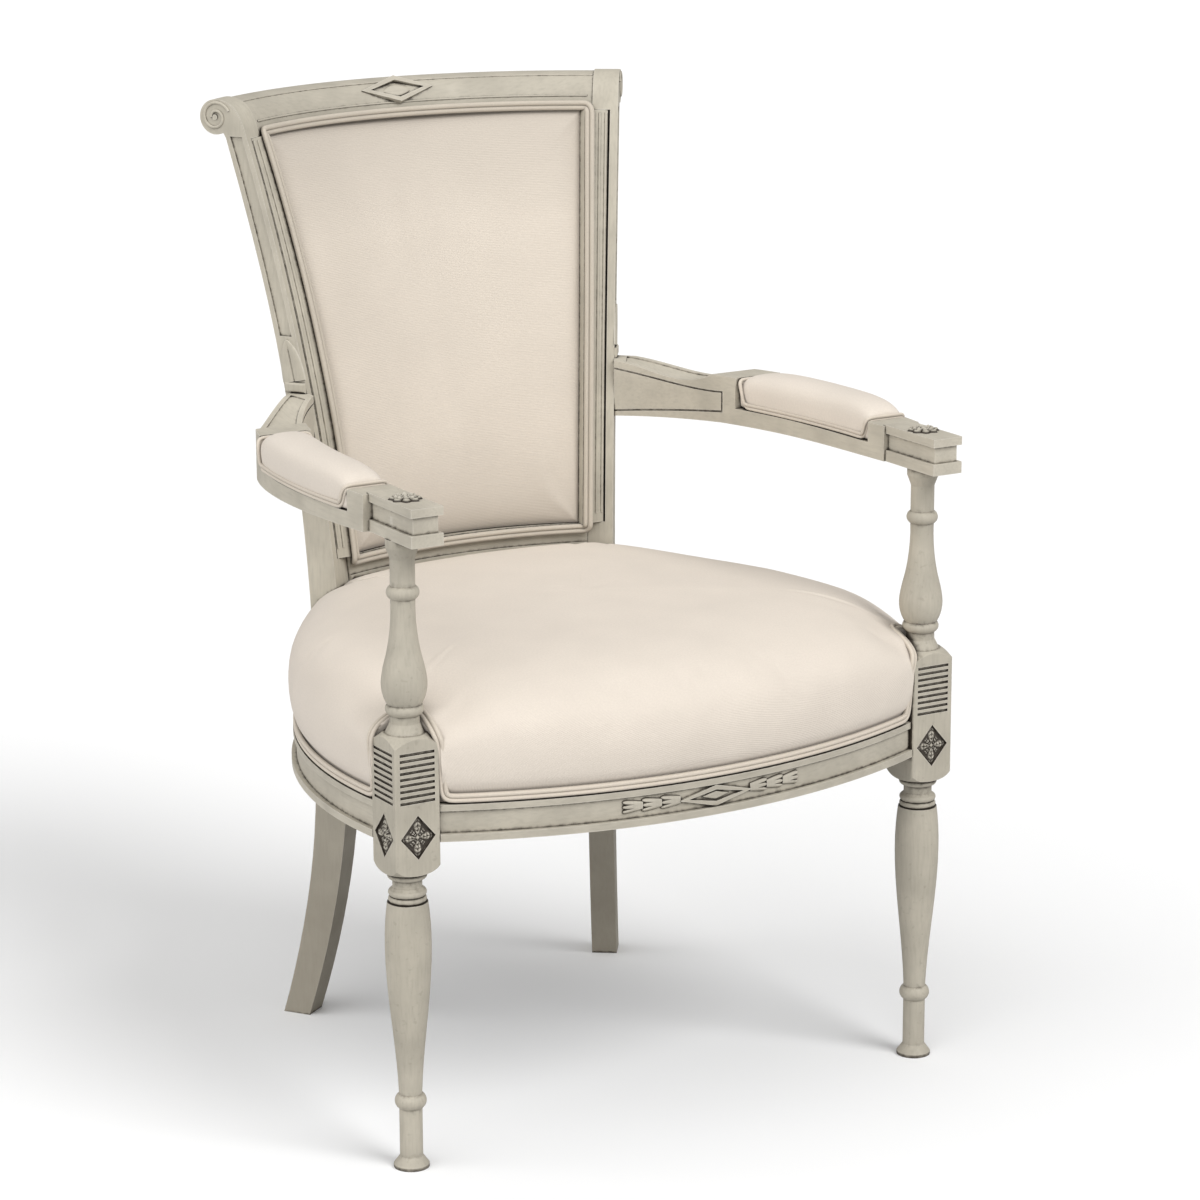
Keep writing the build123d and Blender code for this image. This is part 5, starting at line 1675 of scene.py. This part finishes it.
@dataclass
class Carving:
    """Carved detail of the painted frame: rosettes, husks, leaves, spirals, beads and plaques.

    Each is sunk into its wood by a little, so that no gap shows under its edge.
    """

    palette: Palette
    edge: float = 0.0001
    rosette_foot: float = -0.0003
    leaf_foot: float = -0.0004
    plaque_foot: float = -0.0010
    crease: float = 70.0

    def build(self) -> None:
        """Make all carvings."""
        self.diamonds()
        self.plates()
        self.husks()
        self.leaves()
        self.spirals()
        self.beads()
        self.stile_beads()
        self.plaques()

    def finish(self, name: str, surfaces: list[Surface], material: Material) -> None:
        """Make one painted piece of several carvings.

        Args:
            name: Name of the piece.
            surfaces: Carvings.
            material: Finish.
        """
        register(make_piece(name, surfaces, self.crease), material)

    def cast(self, node: str, starts: Array) -> Array:
        """Where rays that run backward first meet a node of the model.

        Args:
            node: Name of the node.
            starts: Points the rays start from.

        Returns:
            Points met, or the start where a ray misses.
        """
        shape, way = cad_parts[node], Vector(BACKWARD.tolist())
        hits = [shape.ray_cast(Vector(start), way) for start in starts.tolist()]
        return np.array([list(hit[1]) if hit[0] else start for hit, start in zip(hits, starts.tolist())])

    def diamonds(self) -> None:
        """Leafy rosettes in the leg blocks' sunk diamonds: four long leaves, four short ones and a boss.

        The edge is a diamond. Each leaf stands where a cosine of the turn is high, falls off toward its tip
        and is split by a vein.
        """
        half_width, half_height, z, sunk_face = 0.0166, 0.0194, 0.320, 0.0200
        relief, boss, boss_share = 0.0029, 0.0022, 0.17
        turn = np.linspace(0.0, 2 * np.pi, 144, endpoint=False)
        outline = 1.0 / (np.abs(np.cos(turn)) / half_width + np.abs(np.sin(turn)) / half_height)
        share = np.linspace(0.0, 1.0, 26)[:, None]
        notch = 0.35 * np.cos(28 * share)
        long_fall = np.sin(np.pi * np.clip(share, 0.02, 1.0) ** 0.8) ** 0.6
        short_fall = np.sin(np.pi * np.clip(share / 0.8, 0.0, 1.0)) ** 0.6
        long_leaf = np.clip(0.25 + np.cos(4 * turn) + notch, 0.0, 1.0) ** 0.7 * long_fall
        short_leaf = np.clip(-np.cos(4 * turn) - 0.15 + notch, 0.0, 1.0) ** 0.7 * short_fall
        vein = 1 - 0.60 * np.exp(-((np.sin(4 * turn) / 0.16) ** 2))
        lobes = 0.66 + 0.34 * np.cos(28 * share - 3.2 * np.abs(np.sin(4 * turn)))
        height = self.edge + relief * np.maximum(long_leaf, 0.85 * short_leaf) * vein * lobes
        height = np.maximum(height, boss * (1 - (share / boss_share) ** 2) + 0 * turn)
        height[-1] = self.edge
        for side in Side:
            x = side.value
            front = Ground(np.array([x * LEG_X, FRONT_Y - sunk_face, z]), ACROSS, UP)
            outer = Ground(np.array([x * (LEG_X + sunk_face), FRONT_Y, z]), x * BACKWARD, UP)
            carvings = [rosette(ground, outline, height, self.rosette_foot) for ground in (front, outer)]
            self.finish(f"{side.label}_leg_rosettes", carvings, self.palette.carved)

    def plates(self) -> None:
        """Round rosettes on the arms' end plates: eight curled petals round a boss."""
        radius, relief, boss, boss_share = 0.0140, 0.0042, 0.0040, 0.22
        x, y, z = 0.2765, FRONT_Y - 0.003, 0.6250
        turn = np.linspace(0.0, 2 * np.pi, 128, endpoint=False)
        outline = radius * (1 - 0.10 * np.cos(8 * turn))
        share = np.linspace(0.0, 1.0, 22)[:, None]
        petal = np.abs(np.sin(4 * turn)) ** 0.6 * np.sin(np.pi * np.clip(share, 0.02, 1.0) ** 1.3) ** 0.7
        curl = 0.7 + 0.3 * np.cos(22 * share)
        height = 0.0002 + relief * petal * curl
        height = np.maximum(height, boss * (1 - (share / boss_share) ** 2) + 0 * turn)
        height[-1] = self.edge
        for side in Side:
            ground = Ground(np.array([side.value * x, y, z]), ACROSS, BACKWARD)
            carving = rosette(ground, outline, height, self.rosette_foot)
            self.finish(f"{side.label}_plate_rosette", [carving], self.palette.carved)

    def husks(self) -> None:
        """Three husks on each side of the front rail's lozenge, bells that widen outward to three lobes.

        Across the bell the lobes follow a cosine. It rises from its root and falls off at its mouth.
        """
        count, first, pitch, tip_at = 3, 0.0375, 0.0188, 0.018
        before_rail, z, relief, longest = -0.40, 0.3305, 0.0034, 0.0200
        share = np.linspace(0.0, 1.0, 30)
        width = 0.0040 + 0.0028 * share
        column = np.linspace(-1.0, 1.0, 37)[None, :]
        wave = np.abs(np.cos(1.5 * np.pi * column)) ** 0.6
        length = longest * (0.78 + 0.22 * wave)
        rise = (0.70 + 0.30 * share) * np.clip((1 - share) / 0.12, 0.0, 1.0) ** 0.5
        split = ease(share, 0.45, 0.95)[:, None]
        height = relief * (1 - 0.8 * column**6) * (1 - split * 0.60 * (1 - wave)) * rise[:, None]
        carvings = []
        for sign in (-1.0, 1.0):
            roots = sign * (first + pitch * np.arange(count))
            starts = np.column_stack([roots, np.full(count, before_rail), np.full(count, z)])
            feet = self.cast("front_seat_rail", starts)
            tips = self.cast("front_seat_rail", starts + sign * tip_at * ACROSS)
            for foot, tip in zip(feet, tips):
                ground = Ground(foot, -sign * UP, unit(tip - foot))
                carvings.append(leaf(ground, length, width, height, self.leaf_foot))
        self.finish("front_rail_husks", carvings, self.palette.carved)

    def leaves(self) -> None:
        """Pointed leaf with a vein on each post's outer face, above the arm."""
        z, rise, half_width, relief, vein_depth, behind_edge = 0.6515, 0.0405, 0.0126, 0.0019, 0.0012, 0.0115
        share = np.linspace(0.0, 1.0, 40)
        width = half_width * np.clip(1 - share**2.1, 0.0, 1.0) ** 0.62 + 0.0002
        column = np.linspace(-1.0, 1.0, 33)[None, :]
        height = relief * np.clip(1 - np.abs(column) ** 6, 0.0, 1.0) * (0.8 + 0.2 * np.abs(column))
        vein = vein_depth * np.exp(-((column * width[:, None] / 0.0007) ** 2))
        height = height * np.ones((40, 1)) - vein * ease(1 - share, 0.05, 0.3)[:, None]
        heights = np.array([z, z + rise])
        reach = front_edge(heights) + behind_edge
        face = AXIS_Y * BACKWARD + POST_THICKNESS * POST_OUT
        line = face + reach[:, None] * POST_ALONG + heights[:, None] * UP
        for side in Side:
            foot, tip = line * side.flip
            up = unit(tip - foot)
            ground = Ground(foot, np.cross(up, POST_OUT * side.flip), up)
            carving = leaf(ground, np.linalg.norm(tip - foot), width, height, self.leaf_foot)
            self.finish(f"{side.label}_post_leaf", [carving], self.palette.paint[Grain.UPRIGHT])

    def spirals(self) -> None:
        """Raised spiral line on the outer face of each volute, its radius falling evenly with its turn."""
        z, reach, largest, shrink, start = 0.904, 0.359, 0.0158, 0.0118, 0.4
        turn = np.linspace(0.0, 2.9 * np.pi, 220)
        radius = (largest - shrink * (turn / turn[-1]) ** 0.9)[:, None]
        middle = np.array([0.0, AXIS_Y, z]) + reach * POST_ALONG + (POST_THICKNESS + self.edge) * POST_OUT
        turn = turn[:, None] + start
        line = middle - radius * np.cos(turn) * POST_ALONG + radius * np.sin(turn) * UP
        ball = middle + np.array([[-0.0004], [0.0012]]) * POST_OUT
        for side in Side:
            out, along = (np.tile(way * side.flip, (len(line), 1)) for way in (POST_OUT, POST_ALONG))
            tube = sweep(line * side.flip, out, circle_profile(0.0016, 12), False)
            boss = sweep(ball * side.flip, along[:2], circle_profile(0.0026, 20), False)
            self.finish(f"{side.label}_volute_spiral", [tube, boss], self.palette.paint[Grain.UPRIGHT])

    def beads(self) -> None:
        """Thin beads along the crest: one under its top edge and one above the panel's welt."""
        beside_lozenge, before_crest, bead_radius = 0.045, AXIS_Y + 0.20, 0.0011
        tubes = []
        for z, half in ((0.9165, 34.8), (0.8975, 34.0)):
            hit = self.cast("crest_rail", np.array([[beside_lozenge, before_crest, z]]))[0]
            turn = np.radians(np.linspace(-half, half, 160))
            way = np.stack([np.sin(turn), np.cos(turn), np.zeros(160)], axis=1)
            line = np.array([0.0, AXIS_Y, z]) + np.hypot(hit[0], hit[1] - AXIS_Y) * way
            tubes.append(sweep(line, -way, circle_profile(bead_radius, 10), False))
        self.finish("crest_beads", tubes, self.palette.paint[Grain.ACROSS])

    def stile_beads(self) -> None:
        """Two thin beads along each panel stile's face, between the post and the panel's welt."""
        bead_radius, places = 0.0014, (0.0042, 0.0105)
        back = Back(self.palette)
        z = np.linspace(PANEL_LOW + 0.010, CREST_Z - 0.003, 120)
        slope = np.gradient(back.band_point(z, 0.0, 0.0), z, axis=0)
        rise = unit(np.column_stack([slope, np.ones(len(z))]))
        for side in Side:
            tubes = []
            for along in places:
                line = np.column_stack([back.band_point(z, along, 0.0), z])
                way = np.column_stack([back.band_point(z, along, 1.0) - line[:, :2], np.zeros(len(z))])
                out = unit(way - np.sum(way * rise, axis=1)[:, None] * rise)
                tubes.append(sweep(line * side.flip, out * side.flip, circle_profile(bead_radius, 12), False))
            self.finish(f"{side.label}_stile_beads", tubes, self.palette.paint[Grain.UPRIGHT])

    def plaques(self) -> None:
        """Low plaques inside the lozenges of the crest and of the front rail.

        Each outline is a diamond whose sides bow out as the power in its formula grows above 1.
        """
        relief = 0.0016
        turn = np.linspace(0.0, 2 * np.pi, 96, endpoint=False)
        share = np.linspace(0.0, 1.0, 20)[:, None]
        height = relief * (1 - share**8) + self.edge + 0 * turn
        for name, node, y, z, size, power in (
            ("crest_plaque", "crest_rail", AXIS_Y + 0.20, 0.908, (0.0160, 0.0070), 1.5),
            ("front_rail_plaque", "front_seat_rail", -0.40, 0.3295, (0.0150, 0.0042), 1.1),
        ):
            across, up = np.abs(np.cos(turn) / size[0]), np.abs(np.sin(turn) / size[1])
            outline = (across**power + up**power) ** (-1 / power)
            starts = np.array([[0.0, y, z - size[1] / 2], [0.0, y, z + size[1] / 2]])
            feet = self.cast(node, starts)
            ground = Ground(feet.mean(axis=0), ACROSS, unit(feet[1] - feet[0]))
            carving = rosette(ground, outline, height, self.plaque_foot)
            self.finish(name, [carving], self.palette.paint[Grain.ACROSS])


# Stage


@dataclass(frozen=True)
class Stage:
    """White ground, soft daylight and the camera that took the picture."""

    eye: tuple[float, float, float] = (-1.8779, -3.2820, 1.4105)
    yaw: float = 30.652
    pitch: float = 14.353
    roll: float = -0.2
    lens: float = 120.49
    sensor: float = 36.0
    far: float = 200.0
    ambient: float = 0.39
    floor_half: float = 30.0

    def build(self) -> None:
        """Make floor, light and camera."""
        self.floor()
        self.world()
        self.sun("key", (0.25, -0.70, 0.67), 1.80, 32.0)
        self.sun("side", (-0.85, -0.25, 0.50), 2.00, 90.0)
        self.camera()
        bpy.context.scene.view_settings.view_transform = "Standard"

    def floor(self) -> None:
        """Wide white floor."""
        half = self.floor_half
        corners = [(-half, -half, 0), (half, -half, 0), (half, half, 0), (-half, half, 0)]
        mesh = bpy.data.meshes.new("floor")
        mesh.from_pydata(corners, [], [(0, 1, 2, 3)])
        floor = bpy.data.objects.new("floor", mesh)
        bpy.context.scene.collection.objects.link(floor)
        bench = Bench("white_ground")
        place = bench.place()
        tone = bench.mix(bench.noise(place, 3.0, 2.0), (0.965, 0.965, 0.965), (0.98, 0.98, 0.98))
        tone = bench.mix(bench.add("ShaderNodeLightPath").outputs["Is Camera Ray"], (0.62, 0.62, 0.62), tone)
        mesh.materials.append(bench.close({"Base Color": tone, "Roughness": 1.0, "Specular IOR Level": 0.0}))

    def world(self) -> None:
        """Even sky light, seen as white."""
        world = bpy.data.worlds.new("daylight")
        world.use_nodes = True
        nodes, links = world.node_tree.nodes, world.node_tree.links
        nodes.clear()
        path = nodes.new("ShaderNodeLightPath")
        level = nodes.new("ShaderNodeMapRange")
        level.inputs["To Min"].default_value = self.ambient
        level.inputs["To Max"].default_value = 1.0
        links.new(path.outputs["Is Camera Ray"], level.inputs["Value"])
        sky = nodes.new("ShaderNodeBackground")
        sky.inputs["Color"].default_value = (1.0, 1.0, 1.0, 1.0)
        links.new(level.outputs["Result"], sky.inputs["Strength"])
        out = nodes.new("ShaderNodeOutputWorld")
        links.new(sky.outputs["Background"], out.inputs["Surface"])
        bpy.context.scene.world = world

    def sun(self, name: str, source: tuple[float, float, float], strength: float, angle: float) -> None:
        """Distant light.

        Args:
            name: Name of the light.
            source: Direction it comes from.
            strength: Strength in watts per square metre.
            angle: Width of the light in degrees.
        """
        lamp = bpy.data.lights.new(name, "SUN")
        lamp.energy = strength
        lamp.angle = np.radians(angle)
        light = bpy.data.objects.new(name, lamp)
        light.rotation_euler = Vector(source).to_track_quat("Z", "Y").to_euler()
        bpy.context.scene.collection.objects.link(light)

    def camera(self) -> None:
        """Camera placed by its eye, its turn about the vertical, its tilt and its roll."""
        yaw, pitch, roll = np.radians([self.yaw, self.pitch, self.roll])
        look = np.array([np.sin(yaw) * np.cos(pitch), np.cos(yaw) * np.cos(pitch), -np.sin(pitch)])
        right = np.array([np.cos(yaw), -np.sin(yaw), 0.0])
        up = np.cross(right, look)
        turned_right = np.cos(roll) * right + np.sin(roll) * up
        turned_up = np.cos(roll) * up - np.sin(roll) * right
        lens = bpy.data.cameras.new("camera")
        lens.lens = self.lens
        lens.sensor_width = self.sensor
        lens.clip_end = self.far
        camera = bpy.data.objects.new("camera", lens)
        place = np.eye(4)
        place[:3, 0], place[:3, 1], place[:3, 2], place[:3, 3] = turned_right, turned_up, -look, self.eye
        camera.matrix_world = Matrix(place.tolist())
        bpy.context.scene.collection.objects.link(camera)
        bpy.context.scene.camera = camera


def main() -> None:
    """Build the chair's looks in order."""
    logging.basicConfig(level=logging.INFO, format="%(name)s: %(message)s")
    palette = Palette()
    Frame(palette).build()
    Seat(palette).build()
    Back(palette).build()
    for side in Side:
        ArmPad(palette, side).build()
    Carving(palette).build()
    Stage().build()
    LOG.info("built on %d model nodes", len(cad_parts))


if __name__ == "__main__":
    main()
